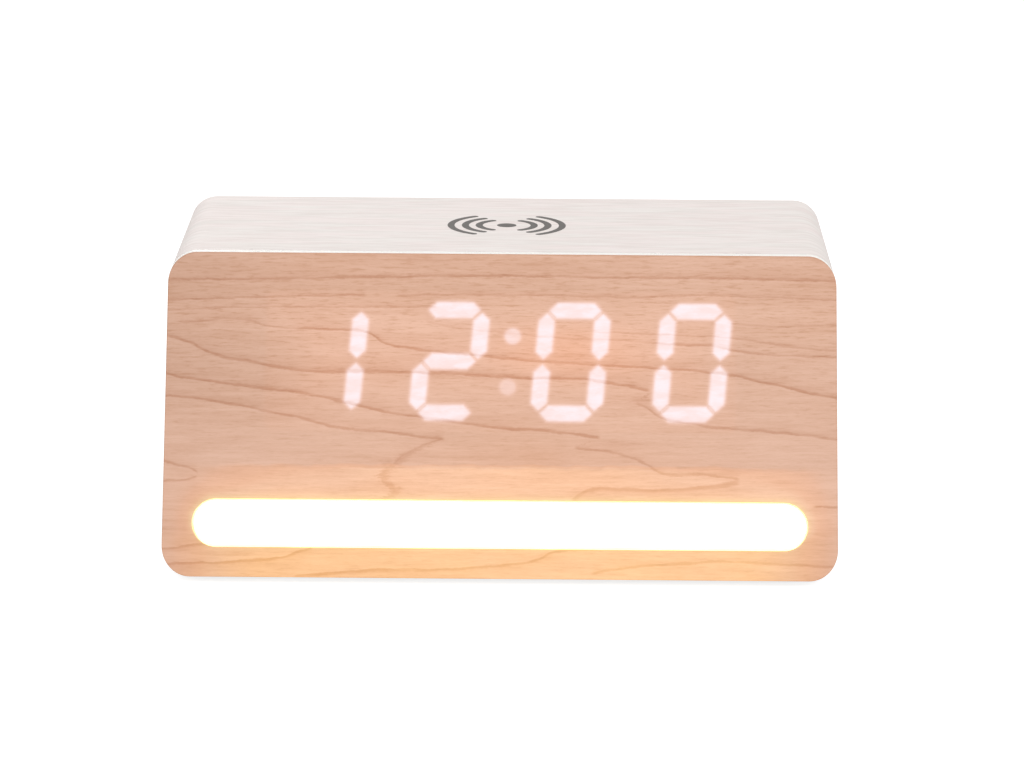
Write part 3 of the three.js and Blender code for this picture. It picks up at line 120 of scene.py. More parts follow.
class ClockShape(bpy.types.PropertyGroup):
    """Sizes of the fine forms."""

    corner: bpy.props.FloatProperty(
        name="Case corner", description="Radius of the case's long corners",
        default=6.4 * MM, min=1 * MM, max=20 * MM, unit="LENGTH")
    wall: bpy.props.FloatProperty(
        name="Case wall", description="Thickness of the case's wall",
        default=2.5 * MM, min=1 * MM, max=6 * MM, unit="LENGTH")
    film: bpy.props.FloatProperty(
        name="Film thickness", description="Thickness of the wood film on the front",
        default=0.4 * MM, min=0.1 * MM, max=1 * MM, unit="LENGTH")
    plate: bpy.props.FloatProperty(
        name="Plate thickness", description="Thickness of the milky plate under the film",
        default=2 * MM, min=1 * MM, max=4 * MM, unit="LENGTH")
    gap: bpy.props.FloatProperty(
        name="Seat gap", description="Gap between the layers of the front",
        default=0.3 * MM, min=0.05 * MM, max=1 * MM, unit="LENGTH")
    bar_length: bpy.props.FloatProperty(
        name="Bar length", description="Length of the light bar",
        default=136.2 * MM, min=40 * MM, max=200 * MM, unit="LENGTH")
    bar_height: bpy.props.FloatProperty(
        name="Bar height", description="Height of the light bar up the face",
        default=10.3 * MM, min=4 * MM, max=20 * MM, unit="LENGTH")
    bar_centre: bpy.props.FloatProperty(
        name="Bar centre", description="How far up the face the bar's middle lies",
        default=12.3 * MM, min=5 * MM, max=40 * MM, unit="LENGTH")
    time_shown: bpy.props.StringProperty(
        name="Time shown", description="Four figures that light up", default="1200", maxlen=4)
    digit_pitch: bpy.props.FloatProperty(
        name="Digit pitch", description="Distance between the middles of two digits",
        default=27.1 * MM, min=10 * MM, max=40 * MM, unit="LENGTH")
    digit_height: bpy.props.FloatProperty(
        name="Digit height", description="Height of a digit",
        default=27.2 * MM, min=8 * MM, max=40 * MM, unit="LENGTH")
    digit_width: bpy.props.FloatProperty(
        name="Digit width", description="Width of a digit before it leans",
        default=16.2 * MM, min=5 * MM, max=30 * MM, unit="LENGTH")
    digit_stroke: bpy.props.FloatProperty(
        name="Stroke", description="Width of one segment",
        default=3.7 * MM, min=1 * MM, max=6 * MM, unit="LENGTH")
    digit_centre: bpy.props.FloatVectorProperty(
        name="Display middle", description="Middle of the display on the face",
        default=(1.95 * MM, 49.3 * MM), size=2, unit="LENGTH")


class ClockColours(bpy.types.PropertyGroup):
    """Colours of the films and plastics."""

    cherry_light: bpy.props.FloatVectorProperty(
        name="Cherry light", description="Pale ground of the wood film",
        default=linear(225, 183, 160), subtype="COLOR", size=3, min=0, max=1)
    cherry_deep: bpy.props.FloatVectorProperty(
        name="Cherry deep", description="Tint of the darkest ground of the wood film",
        default=(0.80, 0.70, 0.61), subtype="COLOR", size=3, min=0, max=1)
    cherry_line: bpy.props.FloatVectorProperty(
        name="Cherry line", description="Tint of the growth lines over the ground",
        default=(0.77, 0.63, 0.54), subtype="COLOR", size=3, min=0, max=1)
    white_light: bpy.props.FloatVectorProperty(
        name="White film", description="Pale ground of the case's film",
        default=linear(236, 228, 225), subtype="COLOR", size=3, min=0, max=1)
    white_deep: bpy.props.FloatVectorProperty(
        name="White film grain", description="Streaks of the case's film",
        default=linear(223, 213, 209), subtype="COLOR", size=3, min=0, max=1)
    sign: bpy.props.FloatVectorProperty(
        name="Sign", description="Ink of the charging sign",
        default=linear(88, 83, 79), subtype="COLOR", size=3, min=0, max=1)
    rear: bpy.props.FloatVectorProperty(
        name="Rear plastic", description="Moulded plastic of the rear cover and the door",
        default=linear(228, 226, 221), subtype="COLOR", size=3, min=0, max=1)
    button: bpy.props.FloatVectorProperty(
        name="Button plastic", description="Moulded plastic of the buttons",
        default=linear(238, 237, 234), subtype="COLOR", size=3, min=0, max=1)


class ClockLight(bpy.types.PropertyGroup):
    """How strongly the display and the bar shine."""

    bar: bpy.props.FloatProperty(
        name="Bar", description="Strength of the light bar", default=1.25, min=0, max=10)
    bar_colour: bpy.props.FloatVectorProperty(
        name="Bar colour", description="Colour of the light bar",
        default=(1.0, 0.93, 0.80), subtype="COLOR", size=3, min=0, max=1)
    glow_colour: bpy.props.FloatVectorProperty(
        name="Glow", description="Light that the bar sends through the film round it",
        default=(0.33, 0.27, 0.08), subtype="COLOR", size=3, min=0, max=1)
    glow_below: bpy.props.FloatVectorProperty(
        name="Glow below", description="Light that the bar sends through the film under it",
        default=(0.36, 0.32, 0.0), subtype="COLOR", size=3, min=0, max=1)
    digit_colour: bpy.props.FloatVectorProperty(
        name="Digit colour", description="Colour of the lit digits",
        default=(1.00, 0.860, 0.892), subtype="COLOR", size=3, min=0, max=2)


# Shapes in bmesh. Each function gives a new closed form.


def moved(form, matrix):
    """The form, put in place by a matrix."""
    bmesh.ops.transform(form, matrix=matrix, verts=form.verts)
    return form


def closed(form, near=1e-7):
    """The form with its doubles merged and its faces outwards."""
    bmesh.ops.remove_doubles(form, verts=form.verts, dist=near)
    bmesh.ops.recalc_face_normals(form, faces=form.faces)
    return form


def prism(width, height, radius, low, high, centre=(0, 0), steps=12):
    """A rounded rectangle in X and Y, raised from low to high along Z."""
    form = bmesh.new()
    square = bmesh.ops.create_grid(form, x_segments=1, y_segments=1, size=0.5)
    bmesh.ops.scale(form, vec=(width, height, 1), verts=square["verts"])
    if radius > 0:
        bmesh.ops.bevel(form, geom=square["verts"], offset=radius, segments=steps, profile=0.5,
                        affect="VERTICES", material=-1)
    raised = bmesh.ops.extrude_face_region(form, geom=form.faces[:])
    top = [item for item in raised["geom"] if isinstance(item, bmesh.types.BMVert)]
    bmesh.ops.translate(form, vec=(0, 0, high - low), verts=top)
    bmesh.ops.translate(form, vec=(centre[0], centre[1], low), verts=form.verts)
    return closed(form)


def bar(radius, low, high, centre=(0, 0)):
    """A round bar along Z."""
    form = bmesh.new()
    bmesh.ops.create_cone(form, cap_ends=True, segments=48, radius1=radius, radius2=radius,
                          depth=high - low)
    bmesh.ops.translate(form, vec=(centre[0], centre[1], (low + high) / 2), verts=form.verts)
    return closed(form)


def turned(profile, steps):
    """A profile of radius and height pairs, spun round Z."""
    form = bmesh.new()
    knots = [form.verts.new((radius, 0, height)) for radius, height in profile]
    edges = [form.edges.new(pair) for pair in zip(knots, knots[1:])]
    bmesh.ops.spin(form, geom=knots + edges, axis=(0, 0, 1), cent=(0, 0, 0), angle=360 * DEG,
                   steps=steps, use_merge=True)
    return closed(form)


def together(*forms):
    """Several forms as one mesh, each still closed by itself."""
    whole = bmesh.new()
    for form in forms:
        loose = bpy.data.meshes.new("loose")
        form.to_mesh(loose)
        form.free()
        whole.from_mesh(loose)
        bpy.data.meshes.remove(loose)
    return whole


def held(form, name):
    """An object that holds a form for a moment."""
    mesh = bpy.data.meshes.new(name)
    form.to_mesh(mesh)
    form.free()
    holder = bpy.data.objects.new(name, mesh)
    bpy.context.scene.collection.objects.link(holder)
    return holder


def combined(base, tool, operation):
    """The base form with the tool form cut out of it, or joined to it."""
    body, cutter = held(base, "body"), held(tool, "cutter")
    step = body.modifiers.new("step", "BOOLEAN")
    step.operation = operation
    step.solver = "EXACT"
    step.object = cutter
    bpy.context.view_layer.update()
    result = bmesh.new()
    result.from_object(body, bpy.context.evaluated_depsgraph_get())
    for holder in (body, cutter):
        mesh = holder.data
        bpy.data.objects.remove(holder)
        bpy.data.meshes.remove(mesh)
    if not result.faces:
        raise RuntimeError("a cut or a join left nothing")
    return result


def cut(base, *tools):
    """The base form with each tool cut out of it."""
    for tool in tools:
        base = combined(base, tool, "DIFFERENCE")
    return base


def fused(base, *tools):
    """The base form with each tool joined to it."""
    for tool in tools:
        base = combined(base, tool, "UNION")
    return base


def sliced(form, point, normal, keep_behind=True):
    """The part of a form behind a plane, or in front of it, closed where it was cut."""
    geometry = form.verts[:] + form.edges[:] + form.faces[:]
    bmesh.ops.bisect_plane(form, geom=geometry, dist=1e-7, plane_co=point, plane_no=normal,
                           clear_outer=keep_behind, clear_inner=not keep_behind)
    rim = [edge for edge in form.edges if edge.is_boundary]
    bmesh.ops.holes_fill(form, edges=rim, sides=0)
    return closed(form)


def soften(form, offset, segments, chosen):
    """Rounds the sharp edges whose two ends pass the test."""
    form.normal_update()
    edges = [edge for edge in form.edges
             if len(edge.link_faces) == 2 and edge.calc_face_angle(0) > LEAST_SHARP
             and all(chosen(vertex.co) for vertex in edge.verts)]
    bmesh.ops.bevel(form, geom=edges, offset=offset, offset_type="OFFSET", segments=segments,
                    profile=0.5, affect="EDGES", material=-1, clamp_overlap=True)
    return form


def arc(centre, radius, start, end, steps):
    """Points of an arc for a flat curve, angles in degrees."""
    turn = (end - start) / steps
    angles = [(start + turn * step) * DEG for step in range(steps + 1)]
    return [(centre[0] + radius * math.cos(a), centre[1] + radius * math.sin(a)) for a in angles]


def ring(radius, centre, steps=48):
    """Points of a full circle."""
    return arc(centre, radius, 0, 360, steps)[:-1]


def rounded(width, height, radius, centre, steps=12):
    """Points of a rounded rectangle."""
    across, up = width / 2 - radius, height / 2 - radius
    points = []
    for turn, (x, y) in enumerate(((across, up), (-across, up), (-across, -up), (across, -up))):
        points += arc((centre[0] + x, centre[1] + y), radius, 90 * turn, 90 * turn + 90, steps)
    return points


def plate(outlines, low, high, rounding):
    """A flat plate with holes and rounded rims, raised from low to high along Z."""
    curve = bpy.data.curves.new("outline", "CURVE")
    curve.dimensions = "2D"
    curve.fill_mode = "BOTH"
    curve.extrude = (high - low) / 2 - rounding
    curve.bevel_depth = rounding
    curve.bevel_resolution = 2
    curve.offset = -rounding
    for points in outlines:
        spline = curve.splines.new("POLY")
        spline.points.add(len(points) - 1)
        for knot, (x, y) in zip(spline.points, points):
            knot.co = (x, y, 0, 1)
        spline.use_cyclic_u = True
    form = from_curve(curve)
    bmesh.ops.translate(form, vec=(0, 0, (low + high) / 2), verts=form.verts)
    return form


def from_curve(curve):
    """A curve's surface as a closed form."""
    holder = bpy.data.objects.new("curve", curve)
    bpy.context.scene.collection.objects.link(holder)
    bpy.context.view_layer.update()
    evaluated = holder.evaluated_get(bpy.context.evaluated_depsgraph_get())
    mesh = bpy.data.meshes.new_from_object(evaluated)
    form = bmesh.new()
    form.from_mesh(mesh)
    bpy.data.objects.remove(holder)
    bpy.data.curves.remove(curve)
    bpy.data.meshes.remove(mesh)
    return closed(form, NEAR)


def wire(points, radius, sides):
    """A round wire along a list of points."""
    curve = bpy.data.curves.new("wire", "CURVE")
    curve.dimensions = "3D"
    curve.bevel_depth = radius
    curve.bevel_resolution = sides // 4 - 1
    curve.use_fill_caps = True
    spline = curve.splines.new("POLY")
    spline.points.add(len(points) - 1)
    for knot, point in zip(spline.points, points):
        knot.co = (*point, 1)
    return from_curve(curve)


def bezier(first, second, third, fourth, steps=24):
    """Points of a cubic curve through space."""
    points = []
    for step in range(steps + 1):
        t = step / steps
        s = 1 - t
        points.append(first * s ** 3 + second * 3 * s * s * t + third * 3 * s * t * t + fourth * t ** 3)
    return points


def copied(node):
    """A CAD node's mesh as a merged form."""
    form = bmesh.new()
    form.from_mesh(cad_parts[node].data)
    bmesh.ops.remove_doubles(form, verts=form.verts, dist=NEAR)
    bmesh.ops.dissolve_limit(form, angle_limit=0.5 * DEG, verts=form.verts, edges=form.edges)
    return form


def finished(name, form, material, body, slot, *nodes, crease=32):
    """Makes a piece of a form, shades it smooth between its creases and hands it to the frame."""
    mesh = bpy.data.meshes.new(name)
    form.to_mesh(mesh)
    form.free()
    mesh.materials.append(material)
    mesh.shade_smooth()
    mesh.set_sharp_from_angle(angle=crease * DEG)
    piece = bpy.data.objects.new(name, mesh)
    bpy.context.scene.collection.objects.link(piece)
    weighted = piece.modifiers.new("flat faces stay flat", "WEIGHTED_NORMAL")
    weighted.weight = 100
    weighted.keep_sharp = True
    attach(piece, body)
    if nodes:
        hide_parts(*nodes)
    return piece


# Shader nodes.


class Net:
    """Adds nodes to one tree and links them."""

    def __init__(self, tree):
        self.tree = tree

    def add(self, kind, **settings):
        """A node of a kind, with its settings."""
        node = self.tree.nodes.new(kind)
        count = len(self.tree.nodes)
        node.location = (200 * (count // 6), -240 * (count % 6))
        for name, value in settings.items():
            setattr(node, name, value)
        return node

    def feed(self, socket, value):
        """Links a socket to an output, or gives it a plain value."""
        if isinstance(value, bpy.types.NodeSocket):
            self.tree.links.new(value, socket)
        elif socket.type == "RGBA" and len(value) == 3:
            socket.default_value = (*value, 1)
        else:
            socket.default_value = value

    def math(self, operation, *values, clamp=False):
        """One sum on numbers."""
        node = self.add("ShaderNodeMath", operation=operation, use_clamp=clamp)
        for socket, value in zip(node.inputs, values):
            self.feed(socket, value)
        return node.outputs[0]

    def times(self, first, second):
        """Two numbers multiplied."""
        return self.math("MULTIPLY", first, second)

    def plus(self, first, second):
        """Two numbers added."""
        return self.math("ADD", first, second)

    def minus(self, first, second):
        """One number less another."""
        return self.math("SUBTRACT", first, second)

    def vector(self, operation, *values):
        """One sum on vectors."""
        node = self.add("ShaderNodeVectorMath", operation=operation)
        for socket, value in zip(node.inputs, values):
            self.feed(socket, value)
        return node.outputs["Value" if operation in ("LENGTH", "DOT_PRODUCT") else "Vector"]

    def ramp(self, value, low, high, to_low=0.0, to_high=1.0, kind="SMOOTHSTEP"):
        """A number carried from one range to another."""
        node = self.add("ShaderNodeMapRange", interpolation_type=kind)
        for socket, given in zip(node.inputs, (value, low, high, to_low, to_high)):
            self.feed(socket, given)
        return node.outputs[0]

    def mix(self, factor, first, second, how="MIX"):
        """Two colours mixed."""
        node = self.add("ShaderNodeMix", data_type="RGBA", blend_type=how)
        for index, value in ((0, factor), (6, first), (7, second)):
            self.feed(node.inputs[index], value)
        return node.outputs[2]

    def tinted(self, first, second):
        """Two colours multiplied."""
        return self.mix(1.0, first, second, "MULTIPLY")

    def grey(self, value):
        """A number as a grey."""
        return self.joined(value, value, value)

    def scaled(self, place, scale):
        """A place multiplied along each axis."""
        return self.vector("MULTIPLY", place, scale)

    def noise(self, place, scale, detail=2.0, roughness=0.5):
        """Soft noise from 0 to 1, with a frequency for each axis."""
        node = self.add("ShaderNodeTexNoise", noise_dimensions="3D")
        self.feed(node.inputs["Vector"], self.scaled(place, scale))
        self.feed(node.inputs["Scale"], 1.0)
        self.feed(node.inputs["Detail"], detail)
        self.feed(node.inputs["Roughness"], roughness)
        return node.outputs[0]

    def cells(self, place, scale, output="Distance"):
        """Cell noise."""
        node = self.add("ShaderNodeTexVoronoi", feature="F1")
        self.feed(node.inputs["Vector"], self.scaled(place, scale))
        self.feed(node.inputs["Scale"], 1.0)
        self.feed(node.inputs["Randomness"], 1.0)
        return node.outputs[output]

    def split(self, place):
        """The three numbers of a vector."""
        node = self.add("ShaderNodeSeparateXYZ")
        self.feed(node.inputs[0], place)
        return node.outputs[0], node.outputs[1], node.outputs[2]

    def joined(self, x, y, z):
        """A vector of three numbers."""
        node = self.add("ShaderNodeCombineXYZ")
        for socket, value in zip(node.inputs, (x, y, z)):
            self.feed(socket, value)
        return node.outputs[0]

    def use(self, group, **values):
        """A node group with its inputs."""
        node = self.add("ShaderNodeGroup")
        node.node_tree = group
        for name, value in values.items():
            self.feed(node.inputs[name.replace("_", " ")], value)
        return node.outputs


def group(name, inputs, outputs):
    """An empty node group, its net, its inputs and its end."""
    if name in bpy.data.node_groups:
        bpy.data.node_groups.remove(bpy.data.node_groups[name])
    tree = bpy.data.node_groups.new(name, "ShaderNodeTree")
    kinds = {"number": "NodeSocketFloat", "vector": "NodeSocketVector", "colour": "NodeSocketColor"}
    for label, kind, value in inputs:
        socket = tree.interface.new_socket(name=label, in_out="INPUT", socket_type=kinds[kind])
        if value is not None:
            socket.default_value = (*value, 1) if kind == "colour" else value
    for label, kind in outputs:
        tree.interface.new_socket(name=label, in_out="OUTPUT", socket_type=kinds[kind])
    net = Net(tree)
    entry = net.add("NodeGroupInput")
    end = net.add("NodeGroupOutput")
    return tree, net, entry.outputs, end.inputs


def rounded_distance_group():
    """How far a place lies outside a rounded rectangle, in the place's own unit."""
    tree, net, given, end = group(
        "rounded distance",
        [("Place", "vector", (0, 0, 0)), ("Middle", "vector", (0, 0, 0)),
         ("Half size", "vector", (10, 10, 0)), ("Radius", "number", 1.0)],
        [("Distance", "number")])
    away = net.vector("ABSOLUTE", net.vector("SUBTRACT", given["Place"], given["Middle"]))
    x, y, _ = net.split(net.vector("SUBTRACT", away, given["Half size"]))
    x = net.plus(x, given["Radius"])
    y = net.plus(y, given["Radius"])
    outside = net.vector("LENGTH", net.joined(net.math("MAXIMUM", x, 0.0), net.math("MAXIMUM", y, 0.0), 0.0))
    inside = net.math("MINIMUM", net.math("MAXIMUM", x, y), 0.0)
    whole = net.plus(outside, inside)
    net.feed(end["Distance"], net.minus(whole, given["Radius"]))
    return tree


def growth_line_group():
    """One growth line of the wood: sharp on one side, and fading on the other."""
    tree, net, given, end = group(
        "growth line",
        [("Along", "number", 0.0), ("Across", "number", 0.0), ("Level", "number", 10.0),
         ("Start", "number", -80.0), ("End", "number", 80.0), ("Side", "number", 1.0),
         ("Core", "number", 0.6), ("Fade", "number", 2.0), ("Strength", "number", 1.0),
         ("Rise", "number", LINE_RISE)],
        [("Line", "number")])
    past = net.times(net.minus(given["Across"], given["Level"]), given["Side"])
    edge = net.ramp(past, net.times(given["Core"], -0.6), 0.02)
    core = net.ramp(past, given["Core"], net.times(given["Core"], 0.35))
    tail = net.math("EXPONENT", net.math("DIVIDE", net.times(past, -1.0), given["Fade"]))
    tail = net.math("MINIMUM", tail, 1.0)
    body = net.plus(net.times(core, 0.56), net.times(tail, 0.44))
    first = net.ramp(given["Along"], given["Start"], net.plus(given["Start"], given["Rise"]))
    last = net.ramp(given["Along"], given["End"], net.minus(given["End"], LINE_RISE))
    line = net.times(net.times(edge, body), given["Strength"])
    net.feed(end["Line"], net.times(line, net.times(first, last)))
    return tree


# Growth lines of the wood as strength, core, fade, side of the fade, knots and the length over which a line
# comes in, all in millimetres. These rise and fall along the face: each knot is a place along it and the
# line's height there.
LENGTHWISE_LINES = (
    (0.85, 0.55, 1.4, 1, ((-78, 67.5), (-60, 67.7), (-30, 68.4), (0, 68.9), (30, 68.7), (50, 68.7),
                          (78, 68.1))),
    (0.80, 0.50, 1.0, 1, ((-78, 62.7), (-65, 63.2), (-45, 64.0), (-30, 64.2))),
    (0.60, 0.45, 1.0, 1, ((-24, 64.2), (-10, 64.5), (10, 64.5), (30, 64.3), (45, 64.8), (60, 64.4),
                          (78, 63.7))),
    (0.55, 0.45, 0.9, 1, ((-78, 60.4), (-60, 61.2), (-40, 61.5), (-14, 61.6))),
    (0.35, 0.40, 0.6, -1, ((-22, 72.9), (-17, 72.6), (-11, 72.3))),
    (0.62, 0.45, 1.0, 1, ((-73, 57.9), (-68, 58.0), (-58, 58.5), (-52, 57.0), (-45, 56.5))),
    (1.00, 0.60, 1.7, 1, ((-52, 56.9), (-45, 56.5), (-35, 56.2), (-30, 55.8), (-28, 54.4), (-26, 53.2),
                          (-20, 52.0), (-14, 51.4), (-2, 50.2), (10, 49.2), (22, 48.6), (35, 47.9),
                          (50, 46.7), (60, 44.6), (70, 42.4), (78, 41.0)), 9.0),
    (1.00, 0.70, 1.9, 1, ((-78, 55.0), (-70, 53.2), (-65, 50.6), (-55, 48.6), (-44, 46.8), (-30, 46.7),
                          (-12, 46.4), (4, 45.5), (20, 45.2), (27, 44.0), (33.6, 42.8))),
    (0.80, 0.60, 1.3, 1, ((29.6, 40.0), (32, 39.2), (35.2, 37.0), (40, 35.8), (50, 34.4), (65, 33.2),
                          (78, 31.8))),
    (0.95, 0.65, 1.7, 1, ((-78, 46.9), (-70, 44.9), (-60, 43.6), (-50, 42.4), (-42, 41.3), (-36, 39.9),
                          (-25, 37.5), (-12, 35.6), (0, 34.1), (12, 33.3), (22.5, 31.8))),
    (0.70, 0.60, 1.2, 1, ((16.0, 29.7), (25, 28.6), (31, 26.8), (36.5, 23.9), (45, 23.8), (50, 23.3),
                          (53.6, 22.4))),
    (0.78, 1.00, 1.7, -1, ((15.5, 17.9), (18, 19.4), (20, 20.4), (27, 20.6), (36, 20.4), (46, 21.2),
                           (53.6, 22.4))),
    (0.90, 0.60, 1.7, 1, ((-78, 41.2), (-65, 39.9), (-55, 38.1), (-50, 37.0), (-45, 36.1), (-36, 33.8),
                          (-25, 32.9), (-12.2, 31.2))),
    (0.85, 0.55, 1.1, 1, ((-78, 26.9), (-72, 25.2), (-69, 24.4), (-67, 23.2))),
    (0.70, 0.50, 0.9, -1, ((-78, 20.9), (-74, 21.7), (-70, 22.0), (-67, 23.2))),
    (0.42, 0.50, 1.0, 1, ((-17.5, 58.5), (-10, 56.9), (0, 55.9), (12, 54.8), (25, 54.4), (38, 53.5))),
    (0.80, 0.50, 1.0, 1, ((23, 54.5), (40, 53.4), (46, 53.3), (55, 51.7), (65, 51.0), (78, 50.9)), 16.0),
    (0.60, 0.50, 0.8, 1, ((20, 56.3), (30, 55.8), (45, 55.4), (55, 54.6), (63, 53.3), (78, 52.1))),
    (0.40, 0.50, 0.8, 1, ((50, 58.6), (60, 57.7), (70, 58.0), (78, 58.3))),
    (0.95, 0.60, 1.0, -1, ((-78, 3.1), (-66, 3.2), (-55, 3.8), (-48, 4.6), (-44, 6.1), (-41, 7.1))),
    (0.80, 0.55, 0.8, -1, ((-78, 6.1), (-72, 6.6), (-67, 7.3), (-62, 7.8))),
    (0.35, 0.50, 0.9, 1, ((-69, 5.3), (-62, 4.8), (-54, 5.4))),
    (0.80, 0.60, 1.1, -1, ((-46, 0.4), (-35, 1.3), (-28, 1.9), (-14, 2.1), (0, 3.1), (8, 4.4), (12, 6.1),
                           (22, 6.9))),
    (0.70, 0.60, 1.2, 1, ((20, 1.2), (30, 2.9), (40, 3.6), (48, 4.1), (60, 3.7), (78, 3.1))),
    (0.95, 0.45, 0.5, 1, ((69.2, 16.9), (72, 16.7), (78, 16.7))),
    (0.72, 0.55, 1.3, 1, ((-24.5, 25.2), (-22, 27.3), (-19.9, 28.7), (-17.4, 29.9), (-12.6, 31.3))),
)
# These turn down the face: each knot is a place up it and how far along the line is there.
TURNING_LINES = (
    (0.60, 2.30, 2.4, 1, ((17.2, -29), (18.0, -26), (19.0, -23.9), (20.3, -24.0), (22.3, -26.4),
                          (24.0, -25.9), (26.0, -23.4), (28.8, -19.9), (30.0, -17.4), (31.5, -12.6))),
    (0.72, 0.90, 1.2, 1, ((39.8, 29.6), (41.0, 31.6), (42.9, 33.4))),
    (0.45, 0.90, 1.6, -1, ((29.5, 16.0), (30.8, 19.0), (32.0, 22.3))),
)
# Dark patches where lines meet: place, half sizes and strength.
DARK_PATCHES = ((31.5, 40.6, 4.5, 1.5, 0.42), (27.0, 30.8, 10.0, 1.3, 0.36), (18.5, 19.2, 5.5, 1.3, 0.35),
                (10.5, 5.2, 3.0, 1.8, 0.30), (-25.0, 25.5, 3.0, 2.4, 0.25), (-30.0, 60.3, 9.0, 0.8, 0.25),
                (62.0, 22.4, 7.0, 0.9, 0.28))
LINE_SPAN = 80.0
LINE_RISE = 1.2


def drawn_lines(net, along, across, lines):
    """The darkest of a set of growth lines at each place."""
    total = None
    share = net.ramp(along, -LINE_SPAN, LINE_SPAN, kind="LINEAR")
    for strength, core, fade, side, knots, *rise in lines:
        curve = net.add("ShaderNodeFloatCurve")
        points = curve.mapping.curves[0].points
        shares = [((place + LINE_SPAN) / (2 * LINE_SPAN), (level + LINE_SPAN) / (2 * LINE_SPAN))
                  for place, level in knots]
        points[0].location, points[1].location = shares[0], shares[-1]
        for middle in shares[1:-1]:
            points.new(*middle)
        curve.mapping.update()
        net.feed(curve.inputs["Value"], share)
        level = net.ramp(curve.outputs[0], 0.0, 1.0, -LINE_SPAN, LINE_SPAN, "LINEAR")
        line = net.use(GROUPS["line"], Along=along, Across=across, Level=level, Start=knots[0][0],
                       End=knots[-1][0], Side=side, Core=core, Fade=fade, Strength=strength,
                       Rise=rise[0] if rise else LINE_RISE)["Line"]
        total = line if total is None else net.math("MAXIMUM", total, line)
    return total


def cherry_wood_group():
    """Cherry wood on the slanted face: growth lines, fibre, flecks and broad tone, with painted shade towards
    its sides and top.
    """
    tree, net, given, end = group(
        "cherry wood",
        [("Place", "vector", (0, 0, 0)), ("Light", "colour", (0.8, 0.5, 0.4)),
         ("Deep", "colour", (0.8, 0.7, 0.6)), ("Line", "colour", (0.77, 0.63, 0.54))],
        [("Colour", "colour"), ("Ground", "colour"), ("Lines", "number"), ("Fibre", "number")])
    place = given["Place"]
    u, v, _ = net.split(place)
    wobble = net.minus(net.noise(place, (0.20, 0.60, 0.1), 2.0), 0.5)
    shiver = net.minus(net.noise(place, (1.1, 3.2, 0.1), 1.0), 0.5)
    v_bent = net.math("MULTIPLY_ADD", wobble, 1.0, net.math("MULTIPLY_ADD", shiver, 0.35, v))
    u_bent = net.math("MULTIPLY_ADD", wobble, -1.8, net.math("MULTIPLY_ADD", shiver, 3.4, u))
    lines = net.math("MAXIMUM", drawn_lines(net, u, v_bent, LENGTHWISE_LINES),
                     drawn_lines(net, v, u_bent, TURNING_LINES))
    worn = net.ramp(net.noise(place, (0.12, 0.5, 0.1), 3.0, 0.6), 0.30, 0.60, 0.66, 1.0)
    lines = net.math("MULTIPLY", lines, worn, clamp=True)
    for middle_u, middle_v, half_u, half_v, strength in DARK_PATCHES:
        away = net.vector("LENGTH", net.vector("DIVIDE", net.vector(
            "SUBTRACT", net.joined(u_bent, v_bent, 0.0), (middle_u, middle_v, 0.0)), (half_u, half_v, 1.0)))
        lines = net.math("MAXIMUM", lines, net.ramp(away, 1.0, 0.0, 0.0, strength))
    broad = net.noise(place, (0.020, 0.055, 0.02), 2.0)
    bands = net.noise(place, (0.022, 0.34, 0.02), 3.0, 0.6)
    tone = net.math("MULTIPLY_ADD", bands, 0.8, net.times(broad, 0.7))
    tone = net.ramp(tone, 0.50, 1.00, 0.0, 0.55, "LINEAR")
    coarse = net.ramp(v, 26.0, 60.0, 0.38, 1.0)
    dashes = net.ramp(net.noise(place, (0.26, 2.1, 1.0), 3.0, 0.62), 0.48, 0.74)
    fibre = net.noise(place, (0.75, 5.2, 1.0), 3.0, 0.6)
    streak = net.noise(place, (0.09, 1.15, 0.3), 3.0, 0.6)
    depth = net.math("MULTIPLY_ADD", net.times(dashes, coarse), 0.76, tone)
    depth = net.plus(depth, net.ramp(fibre, 0.25, 0.75, 0.15, -0.15, "LINEAR"))
    depth = net.plus(depth, net.ramp(streak, 0.28, 0.72, -0.19, 0.23, "LINEAR"))
    depth = net.plus(depth, net.ramp(v, 60.0, 67.0, 0.0, 0.14))
    colour = net.mix(depth, WHITE, given["Deep"])
    colour = net.tinted(colour, given["Light"])
    # Painted shade: the face is darker towards its left and right sides and near its top, where the light
    # falls off; it is also darker in a band across its middle.
    left = net.times(net.ramp(u, -34.0, -80.0, 0.0, 0.11), net.ramp(v, 26.0, 52.0, 0.35, 1.0))
    right = net.ramp(u, 35.0, 80.0, 0.0, 0.02)
    upper = net.ramp(v, 60.0, 66.0, 0.0, 0.025)
    middle_band = net.times(net.ramp(v, 22.0, 27.0, 0.0, 0.035), net.ramp(v, 62.0, 48.0))
    sides, middle = net.plus(left, right), net.plus(middle_band, upper)
    shade = net.minus(1.0, net.plus(sides, middle))
    colour = net.tinted(colour, net.grey(shade))
    ringed = net.tinted(colour, given["Line"])
    net.feed(end["Colour"], net.mix(lines, colour, ringed))
    net.feed(end["Ground"], colour)
    net.feed(end["Lines"], lines)
    net.feed(end["Fibre"], fibre)
    return tree


